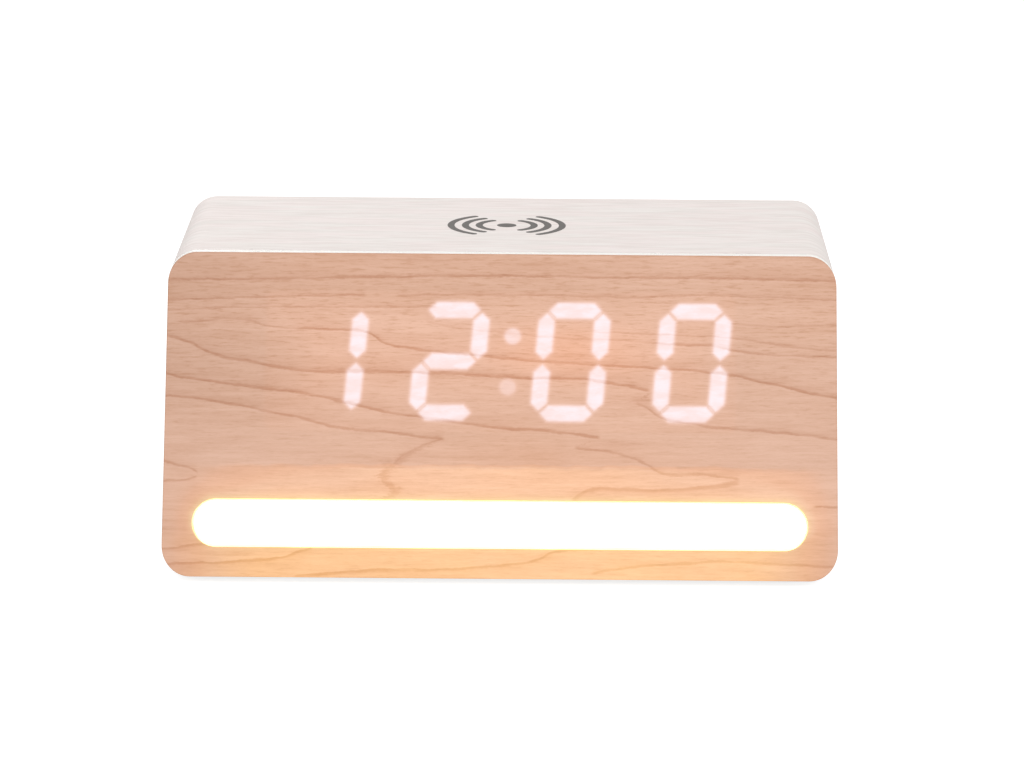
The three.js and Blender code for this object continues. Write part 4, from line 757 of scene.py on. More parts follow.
def glow_group():
    """Light that the bar sends through the film, as a share of its full strength, and its hot rim."""
    tree, net, given, end = group(
        "bar glow",
        [("Place", "vector", (0, 0, 0)), ("Middle", "vector", (0, 12, 0)),
         ("Half size", "vector", (60, 5, 0)), ("Radius", "number", 5.0), ("Top", "number", 25.0)],
        [("Share", "number"), ("Below", "number"), ("Rim", "number"), ("Edge", "number")])
    u, v, _ = net.split(given["Place"])
    away = net.use(GROUPS["distance"], Place=given["Place"], Middle=given["Middle"],
                   Half_size=given["Half size"], Radius=given["Radius"])["Distance"]
    away = net.math("MAXIMUM", away, 0.0)
    below = net.ramp(v, 11.5, 8.0)
    far = net.times(net.ramp(u, -66.0, 2.0, kind="LINEAR"), net.ramp(u, 72.0, 12.0, kind="LINEAR"))
    close = net.times(net.ramp(u, -82.0, -42.0), net.ramp(u, 92.0, 50.0))
    close = net.times(close, net.math("EXPONENT", net.math("DIVIDE", away, -4.2)))
    near = net.times(net.math("EXPONENT", net.math("DIVIDE", away, -1.8)), 0.55)
    kept = net.times(net.minus(1.0, far), net.minus(1.0, close))
    kept = net.times(kept, net.minus(1.0, near))
    above = net.minus(1.0, kept)
    under = net.times(net.ramp(u, -78.0, -52.0), net.ramp(u, 78.0, 54.0))
    patchy = net.ramp(net.noise(given["Place"], (0.05, 0.10, 0.05), 2.0), 0.3, 0.7, 0.88, 1.08, "LINEAR")
    share = net.times(net.mix(below, net.grey(above), net.grey(under)), patchy)
    ragged = net.math("MULTIPLY_ADD", net.noise(given["Place"], (0.16, 0.05, 0.05), 2.0), 1.6, v)
    stop = net.ramp(net.minus(ragged, given["Top"]), 2.2, 0.2)
    spill = net.times(net.ramp(net.minus(v, given["Top"]), 17.0, 0.0), 0.12)
    net.feed(end["Share"], net.times(share, net.math("MAXIMUM", stop, spill)))
    net.feed(end["Below"], below)
    fade = net.ramp(v, 8.0, 16.0, -0.34, -0.62)
    net.feed(end["Rim"], net.math("EXPONENT", net.math("DIVIDE", away, fade)))
    net.feed(end["Edge"], net.math("EXPONENT", net.math("DIVIDE", away, -0.17)))
    return tree


def white_grain_group():
    """Pale wood film: fine short streaks that run along the case, with a few darker pores."""
    tree, net, given, end = group(
        "white grain",
        [("Place", "vector", (0, 0, 0)), ("Light", "colour", (0.85, 0.8, 0.78)),
         ("Deep", "colour", (0.72, 0.66, 0.62))],
        [("Colour", "colour"), ("Fibre", "number")])
    place = given["Place"]
    waver = net.noise(place, (0.03, 0.06, 0.03), 2.0)
    x, y, z = net.split(place)
    y = net.math("MULTIPLY_ADD", waver, 0.8, y)
    bent = net.joined(x, y, z)
    streaks = net.noise(bent, (0.095, 0.92, 0.095), 4.0, 0.6)
    fibre = net.noise(bent, (0.28, 3.2, 0.28), 3.0, 0.6)
    pores = net.ramp(net.noise(bent, (0.24, 1.9, 0.24), 1.0), 0.64, 0.78)
    tint = net.noise(place, (0.05, 0.20, 0.05), 2.0)
    colour = net.mix(net.ramp(streaks, 0.34, 0.70, 0.0, 0.85), given["Light"], given["Deep"])
    colour = net.mix(net.times(pores, 0.35), colour, given["Deep"])
    warm = net.tinted(colour, (1.0, 0.978, 0.972))
    cool = net.tinted(colour, (0.985, 0.997, 0.985))
    colour = net.mix(net.ramp(tint, 0.35, 0.65), warm, cool)
    fine = net.ramp(fibre, 0.3, 0.7, 0.985, 1.015, "LINEAR")
    colour = net.tinted(colour, net.grey(fine))
    net.feed(end["Colour"], colour)
    net.feed(end["Fibre"], fibre)
    return tree


def moulded_group():
    """Moulded plastic: a fine spark-eroded skin, faint flow marks and a little handling shine."""
    tree, net, given, end = group(
        "moulded plastic",
        [("Place", "vector", (0, 0, 0)), ("Base", "colour", (0.8, 0.8, 0.8)),
         ("Grain", "number", 9.0), ("Dull", "number", 0.5)],
        [("Colour", "colour"), ("Roughness", "number"), ("Height", "number")])
    even = net.joined(given["Grain"], given["Grain"], given["Grain"])
    skin = net.noise(given["Place"], even, 2.0, 0.6)
    flow = net.noise(given["Place"], (0.05, 0.05, 0.08), 3.0)
    shade = net.ramp(flow, 0.3, 0.7, 0.965, 1.02, "LINEAR")
    shade = net.times(shade, net.ramp(skin, 0.3, 0.7, 0.985, 1.012, "LINEAR"))
    net.feed(end["Colour"], net.tinted(given["Base"], net.grey(shade)))
    dull = net.math("MULTIPLY_ADD", net.minus(flow, 0.5), 0.25, given["Dull"])
    net.feed(end["Roughness"], net.math("MULTIPLY_ADD", net.minus(skin, 0.5), 0.12, dull))
    net.feed(end["Height"], skin)
    return tree


def metal_group():
    """Metal with drawn scratches and a few dull spots."""
    tree, net, given, end = group(
        "drawn metal",
        [("Place", "vector", (0, 0, 0)), ("Base", "colour", (0.6, 0.6, 0.6)),
         ("Tarnish", "colour", (0.3, 0.28, 0.26)), ("Stretch", "vector", (0.4, 8.0, 8.0))],
        [("Colour", "colour"), ("Roughness", "number"), ("Height", "number")])
    scratch = net.noise(given["Place"], given["Stretch"], 3.0, 0.7)
    spots = net.ramp(net.noise(given["Place"], (0.5, 0.5, 0.5), 4.0, 0.65), 0.5, 0.75)
    colour = net.mix(net.times(spots, 0.35), given["Base"], given["Tarnish"])
    shade = net.ramp(scratch, 0.3, 0.7, 0.93, 1.03, "LINEAR")
    net.feed(end["Colour"], net.tinted(colour, net.grey(shade)))
    rough = net.math("MULTIPLY_ADD", spots, 0.2, 0.26)
    net.feed(end["Roughness"], net.math("MULTIPLY_ADD", scratch, 0.14, rough))
    net.feed(end["Height"], scratch)
    return tree


def board_group():
    """Circuit board: lacquer over copper tracks, with tinned pads and glass weave."""
    tree, net, given, end = group(
        "circuit board",
        [("Place", "vector", (0, 0, 0)), ("Lacquer", "colour", (0.02, 0.16, 0.07)),
         ("Track", "colour", (0.05, 0.28, 0.12))],
        [("Colour", "colour"), ("Roughness", "number"), ("Height", "number")])
    place = given["Place"]
    turn = net.cells(place, (0.16, 0.16, 0.16), "Color")
    x, y, z = net.split(place)
    lean, _, _ = net.split(turn)
    picked = net.ramp(lean, 0.48, 0.52)
    first = net.math("FRACT", net.times(net.plus(x, z), 0.55))
    second = net.math("FRACT", net.times(net.minus(y, z), 0.55))
    way = net.plus(net.times(first, picked), net.times(second, net.minus(1.0, picked)))
    track = net.times(net.ramp(way, 0.28, 0.34), net.ramp(way, 0.66, 0.72, 1.0, 0.0))
    pads = net.ramp(net.cells(place, (0.36, 0.36, 0.36)), 0.16, 0.20, 1.0, 0.0)
    weave = net.noise(place, (2.5, 2.5, 2.5), 1.0)
    colour = net.mix(track, given["Lacquer"], given["Track"])
    shade = net.ramp(weave, 0.3, 0.7, 0.9, 1.08, "LINEAR")
    colour = net.tinted(colour, net.grey(shade))
    net.feed(end["Colour"], net.mix(pads, colour, linear(196, 196, 190)))
    net.feed(end["Roughness"], net.ramp(track, 0.0, 1.0, 0.42, 0.32, "LINEAR"))
    raised = net.times(track, 0.6)
    net.feed(end["Height"], net.plus(raised, net.times(weave, 0.4)))
    return tree


GROUPS = {}


def make_groups():
    """Builds every shared effect once."""
    GROUPS["distance"] = rounded_distance_group()
    GROUPS["line"] = growth_line_group()
    GROUPS["cherry"] = cherry_wood_group()
    GROUPS["glow"] = glow_group()
    GROUPS["white"] = white_grain_group()
    GROUPS["moulded"] = moulded_group()
    GROUPS["metal"] = metal_group()
    GROUPS["board"] = board_group()


def blank(name):
    """A new material, its net and its shader."""
    material = bpy.data.materials.new(name)
    material.use_nodes = True
    tree = material.node_tree
    shader = next(node for node in tree.nodes if node.type == "BSDF_PRINCIPLED")
    return material, Net(tree), shader


def object_place(net, centre=(0, 0, 0), turn=(0, 0, 0)):
    """Object coordinates in millimetres, from a centre and in a turned frame."""
    source = net.add("ShaderNodeTexCoord").outputs["Object"]
    mapping = net.add("ShaderNodeMapping", vector_type="TEXTURE")
    net.feed(mapping.inputs["Vector"], source)
    mapping.inputs["Location"].default_value = centre
    mapping.inputs["Rotation"].default_value = turn
    mapping.inputs["Scale"].default_value = (MM, MM, MM)
    return mapping.outputs[0]


def face_place(net):
    """Object coordinates in the face's frame."""
    return object_place(net, (0, FRONT, FLOOR), (90 * DEG - LEAN, 0, 0))


def bump(net, shader, height, distance, strength=0.5):
    """Feeds a shader's normal from a height."""
    node = net.add("ShaderNodeBump")
    node.inputs["Strength"].default_value = strength
    node.inputs["Distance"].default_value = distance
    net.feed(node.inputs["Height"], height)
    net.feed(shader.inputs["Normal"], node.outputs[0])


def coat(net, shader, made, depth):
    """Feeds a shader from a group's colour, roughness and height."""
    net.feed(shader.inputs["Base Color"], made["Colour"])
    net.feed(shader.inputs["Roughness"], made["Roughness"])
    bump(net, shader, made["Height"], depth * MM)


def moulded(name, colour, grain, dull, depth, translucent=0.0):
    """Moulded plastic of a colour."""
    material, net, shader = blank(name)
    made = net.use(GROUPS["moulded"], Place=object_place(net), Base=colour, Grain=grain, Dull=dull)
    coat(net, shader, made, depth)
    if translucent:
        shader.inputs["Subsurface Weight"].default_value = translucent
        shader.inputs["Subsurface Radius"].default_value = (1.0, 0.9, 0.8)
        shader.inputs["Subsurface Scale"].default_value = 1 * MM
    return material


def metal(name, colour, tarnish, stretch):
    """Metal of a colour."""
    material, net, shader = blank(name)
    made = net.use(GROUPS["metal"], Place=object_place(net), Base=colour, Tarnish=tarnish, Stretch=stretch)
    shader.inputs["Metallic"].default_value = 1.0
    coat(net, shader, made, 0.01)
    return material


def circuit(name, lacquer, track):
    """A circuit board's lacquer and tracks."""
    material, net, shader = blank(name)
    made = net.use(GROUPS["board"], Place=object_place(net), Lacquer=lacquer, Track=track)
    coat(net, shader, made, 0.03)
    return material


# The display's backlight on the film, in millimetres: how far its middle lies left of the digits', its half
# size, the middle and radii of its brightest part, and its colour.
WINDOW_SHIFT = 2.2
WINDOW_HALF = (52.5, 16.0, 0)
BRIGHTEST = (15.0, 52.0, 0.0)
BRIGHTEST_RADII = (26.0, 10.0, 1000.0)
WINDOW_COLOUR = (0.100, 0.053, 0.026)
# How far up from the bar its glow ends, in millimetres, and the light along the bar's rim.
GLOW_REACH = 7.4
RIM_COLOUR = (0.05, 0.21, 0.01)
EDGE_COLOUR = (0.12, 0.06, 0.16)
# Painted glow light: tints painted into the wood's own colour where the bar's glow is weak, and under the
# bar.
WEAK_GLOW_TINT = (1.0, 0.930, 0.88)
UNDER_GLOW_TINT = (1.0, 0.975, 0.905)
# Colour of a faintly lit place on the display.
FAINT_COLOUR = (1.10, 0.77, 0.69)


def bar_outline(net, place, group_name, shape, **more):
    """A group that measures from the light bar's outline."""
    return net.use(GROUPS[group_name], Place=place, Middle=(0, shape.bar_centre / MM, 0),
                   Half_size=(shape.bar_length / 2 / MM, shape.bar_height / 2 / MM, 0),
                   Radius=shape.bar_height / 2 / MM, **more)


def film_shine(net, place, colour, shape, light):
    """The light of the bar and the display through a film's colour, and a painted glow tint for the film's
    own colour.
    """
    bar_top = (shape.bar_centre + shape.bar_height / 2) / MM
    glow = bar_outline(net, place, "glow", shape, Top=bar_top + GLOW_REACH)
    middle = (shape.digit_centre[0] / MM - WINDOW_SHIFT, shape.digit_centre[1] / MM, 0)
    window = net.use(GROUPS["distance"], Place=place, Middle=middle, Half_size=WINDOW_HALF,
                     Radius=2.0)["Distance"]
    hue = net.mix(glow["Below"], tuple(light.glow_colour), tuple(light.glow_below))
    shine = net.mix(glow["Share"], BLACK, hue)
    level = net.math("MULTIPLY_ADD", net.ramp(window, 0.9, -0.9), 0.3, net.ramp(window, 0.0, -18.0, 0.0, 0.7))
    away = net.vector("DIVIDE", net.vector("SUBTRACT", place, BRIGHTEST), BRIGHTEST_RADII)
    level = net.plus(level, net.ramp(net.vector("LENGTH", away), 1.0, 0.0, 0.0, 1.5))
    display = net.tinted(net.grey(level), WINDOW_COLOUR)
    shine = net.tinted(net.mix(1.0, shine, display, "ADD"), colour)
    shine = net.mix(1.0, shine, net.mix(glow["Rim"], BLACK, RIM_COLOUR), "ADD")
    shine = net.mix(1.0, shine, net.mix(glow["Edge"], BLACK, EDGE_COLOUR), "ADD")
    # Painted glow light: the film's own colour is tinted warmer at the fringe of the bar's glow and under the
    # bar.
    weak_glow = net.times(net.ramp(glow["Share"], 0.0, 0.2), net.ramp(glow["Share"], 0.62, 0.35))
    tint = net.mix(weak_glow, WHITE, WEAK_GLOW_TINT)
    under = net.mix(net.times(glow["Share"], glow["Below"]), WHITE, UNDER_GLOW_TINT)
    return shine, net.tinted(tint, under)


def cherry_film(name, shape, colours, light, lit=None):
    """The wood film of the front. lit names the attribute that says how much of the display shows through."""
    material, net, shader = blank(name)
    place = face_place(net)
    wood = net.use(GROUPS["cherry"], Place=place, Light=tuple(colours.cherry_light),
                   Deep=tuple(colours.cherry_deep), Line=tuple(colours.cherry_line))
    colour = wood["Colour"]
    edge = net.use(GROUPS["distance"], Place=place, Middle=(0, FACE_HEIGHT / 2 / MM, 0),
                   Half_size=(WIDTH / 2 / MM, FACE_HEIGHT / 2 / MM, 0), Radius=6.6)["Distance"]
    # The film is darker in a thin band along the face's rim.
    film_rim_dark = net.mix(net.ramp(edge, -0.30, -0.02, 0.0, 0.6), WHITE, tuple(colours.cherry_line))
    colour = net.tinted(colour, film_rim_dark)
    shine, tint = film_shine(net, place, wood["Ground"], shape, light)
    # Painted glow light: the bar's glow is tinted into the wood's own colour.
    colour = net.tinted(colour, tint)
    if lit:
        share = net.add("ShaderNodeAttribute", attribute_name=lit).outputs["Fac"]
        veil = net.ramp(net.noise(place, (0.16, 0.42, 0.1), 3.0, 0.6), 0.34, 0.66, 0.83, 1.01)
        veil = net.times(veil, net.ramp(wood["Fibre"], 0.25, 0.75, 0.95, 1.03, "LINEAR"))
        veil = net.times(veil, net.ramp(wood["Lines"], 0.0, 1.0, 1.0, 0.72, "LINEAR"))
        share = net.math("MULTIPLY", share, veil, clamp=True)
        shine = net.mix(share, shine, net.mix(share, FAINT_COLOUR, tuple(light.digit_colour)))
        colour = net.mix(share, colour, BLACK)
    net.feed(shader.inputs["Base Color"], colour)
    net.feed(shader.inputs["Emission Color"], shine)
    shader.inputs["Emission Strength"].default_value = 1.0
    net.feed(shader.inputs["Roughness"], net.ramp(wood["Fibre"], 0.2, 0.8, 0.50, 0.60, "LINEAR"))
    shader.inputs["Specular IOR Level"].default_value = 0.3
    bump(net, shader, wood["Fibre"], 0.015 * MM, 0.4)
    return material


def white_film(name, colours):
    """The pale wood film round the case."""
    material, net, shader = blank(name)
    made = net.use(GROUPS["white"], Place=object_place(net), Light=tuple(colours.white_light),
                   Deep=tuple(colours.white_deep))
    net.feed(shader.inputs["Base Color"], made["Colour"])
    net.feed(shader.inputs["Roughness"], net.ramp(made["Fibre"], 0.2, 0.8, 0.52, 0.64, "LINEAR"))
    shader.inputs["Specular IOR Level"].default_value = 0.35
    bump(net, shader, made["Fibre"], 0.03 * MM, 0.5)
    return material


# Forms of the case and the front.


def case_prism():
    """The case's section, from in front of the face to the rear."""
    corner = bpy.context.scene.clock_shape.corner
    form = prism(WIDTH, BODY_HEIGHT, corner, -REAR, -FRONT + OVERRUN, steps=16)
    return moved(form, Matrix.Translation((0, 0, MIDDLE)) @ UPRIGHT)


def face_slab(low, high):
    """A layer of the front, between two depths of the face's frame."""
    form = sliced(case_prism(), FACE @ Vector((0, 0, high)), FACE_OUT)
    return sliced(form, FACE @ Vector((0, 0, low)), FACE_OUT, keep_behind=False)


def case_edge_depth():
    """How deep under the face the case's slanted edge lies, as a place along the face's third axis."""
    shape = bpy.context.scene.clock_shape
    return -(shape.film + shape.gap + shape.plate + shape.gap)


def bar_form(margin, low, high):
    """The light bar's outline, grown by a margin."""
    shape = bpy.context.scene.clock_shape
    height = shape.bar_height + 2 * margin
    form = prism(shape.bar_length + 2 * margin, height, height / 2, low, high,
                 (0, shape.bar_centre), 20)
    return moved(form, FACE)


def at_depth(depth):
    """A test for places at one depth of the face's frame."""
    back = FACE.inverted()
    return lambda place: abs((back @ place).z - depth) < NEAR


def upright_bar(radius, x, z, low, high):
    """A round bar along Y."""
    return moved(bar(radius, -high, -low), Matrix.Translation((x, 0, z)) @ UPRIGHT)


# Segments as name, share across, share up, upright, outer side and the ends that are rounded.
SEGMENTS = (
    ("a", 0, 1, False, 1, (True, True)),
    ("b", 1, 0.5, True, -1, (False, True)),
    ("c", 1, -0.5, True, -1, (True, False)),
    ("d", 0, -1, False, -1, (True, True)),
    ("e", -1, -0.5, True, 1, (True, False)),
    ("f", -1, 0.5, True, 1, (False, True)),
    ("g", 0, 0, False, 1, (False, False)),
)
FIGURES = {
    "0": "abcdef", "1": "bc", "2": "abdeg", "3": "abcdg", "4": "bcfg",
    "5": "acdfg", "6": "acdefg", "7": "abc", "8": "abcdefg", "9": "abcdfg",
}
DIGIT_LEAN = 0.088
TIP_GAPS = (0.3 * MM, 0.45 * MM)
SHOULDER = 1.0 * MM
# A rounded shoulder's corners as shares of SHOULDER: along past the plain corner, and in from the edge.
SHOULDER_SHARES = ((-0.5, 0), (0.1, 0.12), (0.6, 0.6))
TIP_CUT = 0.45 * MM

# How strongly a lit shape shines at its rim, and at each step in from it.
RIM_SHARE = 0.54
INNER_SHARES = ((0.18 * MM, 0.77), (0.18 * MM, 0.90), (0.26 * MM, 0.99))
DOT_LEVELS = (0.45, 0.71)
# The soft light round a lit shape: its reach and fall, and a faint wider part.
HALO_REACH = 0.31 * MM
HALO_FALL = 1.4
FAINT_REACH = 5 * MM
FAINT_SHARE = 0.025
# The thin layers that carry the light, as heights over the face, and the window's margins and mesh.
WINDOW_LAYER = (0.004 * MM, 0.012 * MM)
LIT_LAYER = (0.016 * MM, 0.03 * MM)
WINDOW_WIDTH_SHARE = 4.35
WINDOW_MARGIN = 4.5 * MM
WINDOW_MESH = 1.2 * MM
FINER_REACHES = (1.5 * MM, 1.0 * MM)
DOT_RADIUS = 1.86 * MM
DOT_RISE = 5.83 * MM


def shoulder_knots(corner, half, wanted):
    """The corners of one shoulder, from the long edge to the tip."""
    if not wanted:
        return [(corner, half)]
    return [(corner + SHOULDER * along, half - SHOULDER * inwards) for along, inwards in SHOULDER_SHARES]


def segment_knots(length, stroke, side, rounded_ends):
    """Corners of one segment along X, with blunt tips and, at the ends asked for, a rounded shoulder."""
    half, end = stroke / 2, length / 2
    corner = end - half
    at_start, at_end = (shoulder_knots(corner, half, wanted) for wanted in rounded_ends)
    knots = [(-corner, -half), (corner, -half), (end - TIP_CUT, -TIP_CUT), (end - TIP_CUT / 3, 0),
             (end - TIP_CUT, TIP_CUT)]
    knots += at_end[::-1]
    knots += [(-x, y) for x, y in at_start]
    knots += [(-end + TIP_CUT, TIP_CUT), (-end + TIP_CUT / 3, 0), (-end + TIP_CUT, -TIP_CUT)]
    return [(x, side * y) for x, y in knots]


def digit_segments(middle, figure):
    """The outlines of a figure's lit segments, in the face's frame."""
    shape = bpy.context.scene.clock_shape
    reach = (shape.digit_width - shape.digit_stroke) / 2
    rise = (shape.digit_height - shape.digit_stroke) / 2
    lengths = (2 * reach - 2 * TIP_GAPS[0], rise - 2 * TIP_GAPS[1])
    outlines = []
    for name, across, up, is_upright, side, ends in SEGMENTS:
        if name not in FIGURES[figure]:
            continue
        flat = segment_knots(lengths[is_upright], shape.digit_stroke, side, ends)
        centre = (middle + across * reach + DIGIT_LEAN * up * rise, shape.digit_centre[1] + up * rise)
        points = []
        for along, over in flat:
            dx, dy = (-over, along) if is_upright else (along, over)
            points.append((centre[0] + dx + DIGIT_LEAN * dy, centre[1] + dy))
        outlines.append(points)
    return outlines


def display_outlines():
    """The lit outlines of each digit, then of the dots, with how strongly each dot is lit."""
    shape = bpy.context.scene.clock_shape
    first = shape.digit_centre[0] - 1.5 * shape.digit_pitch
    digits = [digit_segments(first + index * shape.digit_pitch, figure)
              for index, figure in enumerate(shape.time_shown)]
    dots = []
    for rise, level in zip((-DOT_RISE, DOT_RISE), DOT_LEVELS):
        middle = (shape.digit_centre[0] + DIGIT_LEAN * rise, shape.digit_centre[1] + rise)
        dots.append((ring(DOT_RADIUS, middle, 40), level))
    return digits, dots


def lit_patch(points, level):
    """One lit shape as a thin patch, brightest in its middle."""
    low, high = LIT_LAYER
    form = bmesh.new()
    face = form.faces.new([form.verts.new((x, y, high)) for x, y in points])
    face.normal_update()
    if face.normal.z < 0:
        face.normal_flip()
    lit = form.verts.layers.float.new("lit")
    for vertex in form.verts:
        vertex[lit] = level * RIM_SHARE
    for step, share in INNER_SHARES:
        bmesh.ops.inset_region(form, faces=[face], thickness=step, depth=0, use_boundary=True,
                               use_even_offset=True)
        for vertex in face.verts:
            vertex[lit] = level * share
    return thickened(form, low - high)


def outline_distance(x, y, points):
    """How far a place lies outside a closed outline, or 0 inside it."""
    inside, nearest = False, 1.0
    last = points[-1]
    for point in points:
        ax, ay, bx, by = last[0], last[1], point[0], point[1]
        if (ay > y) != (by > y) and x < (bx - ax) * (y - ay) / (by - ay) + ax:
            inside = not inside
        dx, dy = bx - ax, by - ay
        share = max(0.0, min(1.0, ((x - ax) * dx + (y - ay) * dy) / (dx * dx + dy * dy)))
        nearest = min(nearest, math.hypot(x - ax - share * dx, y - ay - share * dy))
        last = point
    return 0.0 if inside else nearest


def thickened(form, drop):
    """A flat open form with a copy of itself under it, closed round the rim."""
    under = bmesh.ops.extrude_face_region(form, geom=form.faces[:], use_keep_orig=True)
    below = [item for item in under["geom"] if isinstance(item, bmesh.types.BMVert)]
    bmesh.ops.translate(form, vec=(0, 0, drop), verts=below)
    return closed(form)


def halo_sheet(outlines):
    """A thin sheet of film over the display that carries the soft light round the lit shapes."""
    shape = bpy.context.scene.clock_shape
    low, high = WINDOW_LAYER
    width, height = WINDOW_WIDTH_SHARE * shape.digit_pitch, shape.digit_height + 2 * WINDOW_MARGIN
    form = bmesh.new()
    bmesh.ops.create_grid(form, x_segments=round(width / WINDOW_MESH),
                          y_segments=round(height / WINDOW_MESH), size=0.5)
    bmesh.ops.scale(form, vec=(width, height, 1), verts=form.verts)
    bmesh.ops.translate(form, vec=(*shape.digit_centre, high), verts=form.verts)
    boxes = []
    for points, level in outlines:
        xs, ys = [p[0] for p in points], [p[1] for p in points]
        boxes.append((min(xs), max(xs), min(ys), max(ys), points, level))

    def away(place, reach):
        """How far a place lies from the nearest lit shape, up to a reach, and that shape's level."""
        strength = 1.0
        for left, right, bottom, top, points, level in boxes:
            if left - reach < place.x < right + reach and bottom - reach < place.y < top + reach:
                near = outline_distance(place.x, place.y, points)
                if near < reach:
                    reach, strength = near, level
        return reach, strength

    for reach in FINER_REACHES:
        near = {vertex for vertex in form.verts if 0 < away(vertex.co, reach)[0] < reach}
        edges = [edge for edge in form.edges if near.intersection(edge.verts)]
        bmesh.ops.subdivide_edges(form, edges=edges, cuts=1, use_grid_fill=True)
    lit = form.verts.layers.float.new("lit")
    for vertex in form.verts:
        near, strength = away(vertex.co, FAINT_REACH)
        fade = max(0.0, 1 - near / FAINT_REACH)
        soft = RIM_SHARE * math.exp(-(near / HALO_REACH) ** HALO_FALL) + FAINT_SHARE * fade * fade
        vertex[lit] = strength * soft
    return thickened(form, low - high)


# Operators: one for each piece or group of like pieces.


# Radii of the case's bosses, posts and pilot holes, and the pieces' places on them.
BOSS_RADIUS, BOSS_LENGTH = 3.4 * MM, 13 * MM
POST_RADIUS, PILOT_RADIUS, PILOT_DEPTH = 2.6 * MM, 1.3 * MM, 10 * MM
CARRIER_EAR = 3.6 * MM
BOARD_SCREW_INSET = 4 * MM
COVER_STEP = 1 * MM
FOOT_SEAT_RADIUS = 5.2 * MM
REAR_EDGE_ROUND = 0.45 * MM
SLANT_REACH = 100 * MM


class CLOCK_OT_case(bpy.types.Operator):
    """Builds the film-wrapped case with its screw bosses and seats."""

    bl_idname = "clock.case"
    bl_label = "Case"

    def execute(self, context):
        """Makes the piece."""
        shape, colours = context.scene.clock_shape, context.scene.clock_colours
        roof, floor = TOP - shape.wall, FLOOR + shape.wall
        form = cut(case_prism(), tube_bore(shape.wall, FRONT - 3 * OVERRUN, REAR + OVERRUN))
        for x, z in case_screw_places():
            form = fused(form, upright_bar(BOSS_RADIUS, x, z, COVER_BACK - BOSS_LENGTH, REAR - OVERRUN))
        carrier_high = box_of("coil_carrier")[1]
        carrier_top = box_of("ferrite_sheet")[0].z
        for sign in (-1, 1):
            centre = (sign * (carrier_high.x - CARRIER_EAR), TOP_CENTRE)
            form = fused(form, bar(POST_RADIUS, carrier_top, roof + BLEND, centre))
            form = cut(form, bar(PILOT_RADIUS, carrier_top - OVERRUN, roof + BLEND, centre))
        board_low, board_high = box_of("charger_board")
        for sign in (-1, 1):
            centre = (sign * (board_high.x - BOARD_SCREW_INSET), (board_low.y + board_high.y) / 2)
            form = fused(form, bar(POST_RADIUS, floor - BLEND, board_low.z, centre))
            form = cut(form, bar(PILOT_RADIUS, floor, board_low.z + OVERRUN, centre))
        form = cut(form, tube_bore(shape.wall - COVER_STEP, COVER_BACK, REAR + OVERRUN))
        for x, z in case_screw_places():
            form = cut(form, upright_bar(PILOT_RADIUS, x, z, COVER_BACK - PILOT_DEPTH, COVER_BACK + OVERRUN))
        for number in range(1, 5):
            low, high = box_of(f"foot_{number}")
            middle = (low + high) / 2
            form = cut(form, bar(FOOT_SEAT_RADIUS, FLOOR - OVERRUN, high.z, (middle.x, middle.y)))
        edge = case_edge_depth()
        slant = prism(2 * WIDTH, 4 * FACE_HEIGHT, 0, edge, edge + SLANT_REACH, (0, 0))
        form = closed(cut(form, moved(slant, FACE)))
        soften(form, REAR_EDGE_ROUND, 3, lambda place: abs(place.y - REAR) < NEAR)
        finished("case", form, white_film("white_grain_film", colours), "case", "white_grain_film",
                 "housing")
        return {"FINISHED"}


def tube_bore(inset, low, high):
    """The case's bore, drawn in by an inset, between two places along Y."""
    shape = bpy.context.scene.clock_shape
    radius = max(shape.corner - inset, 0.5 * MM)
    form = prism(WIDTH - 2 * inset, BODY_HEIGHT - 2 * inset, radius, -high, -low, steps=12)
    return moved(form, Matrix.Translation((0, 0, MIDDLE)) @ UPRIGHT)


def case_screw_places():
    """The middles of the four rear screws, as X and Z."""
    return [middle_of(f"rear_screw_{number}") for number in range(1, 5)]


class CLOCK_OT_front(bpy.types.Operator):
    """Builds the wood film and the milky plate under it."""

    bl_idname = "clock.front"
    bl_label = "Front film and plate"

    def execute(self, context):
        """Makes the pieces."""
        scene = context.scene
        shape, colours, light = scene.clock_shape, scene.clock_colours, scene.clock_light
        film = face_slab(-shape.film, 0)
        film = closed(cut(film, bar_form(shape.gap, -shape.film - OVERRUN, OVERRUN)))
        soften(film, 0.12 * MM, 2, at_depth(0))
        finished("cherry_film", film, cherry_film("cherry_veneer", shape, colours, light), "case",
                 "cherry_veneer", "front_veneer")

        plate_front = -shape.film - shape.gap
        plate_back = plate_front - shape.plate
        sheet = face_slab(plate_back, plate_front)
        sheet = closed(cut(sheet, bar_form(shape.gap, plate_back - OVERRUN, plate_front + OVERRUN)))
        soften(sheet, 0.15 * MM, 2, at_depth(plate_front))
        rim = sliced(copied("front_panel"), FACE @ Vector((0, 0, plate_back)), FACE_OUT)
        finished("milky_plate", together(sheet, rim),
                 moulded("clear_acrylic", linear(243, 239, 232), 3.0, 0.28, 0.006, 0.4),
                 "case", "clear_acrylic", "front_panel")
        return {"FINISHED"}


BAR_ROUND = 0.5 * MM
BAR_FLANGE, BAR_FLANGE_THICK = 0.8 * MM, 1 * MM
BAR_RIM_COLOUR = (1.0, 0.74, 0.34)
# The lamps behind the bar, in millimetres from one to the next.
LAMP_PITCH = 11.0


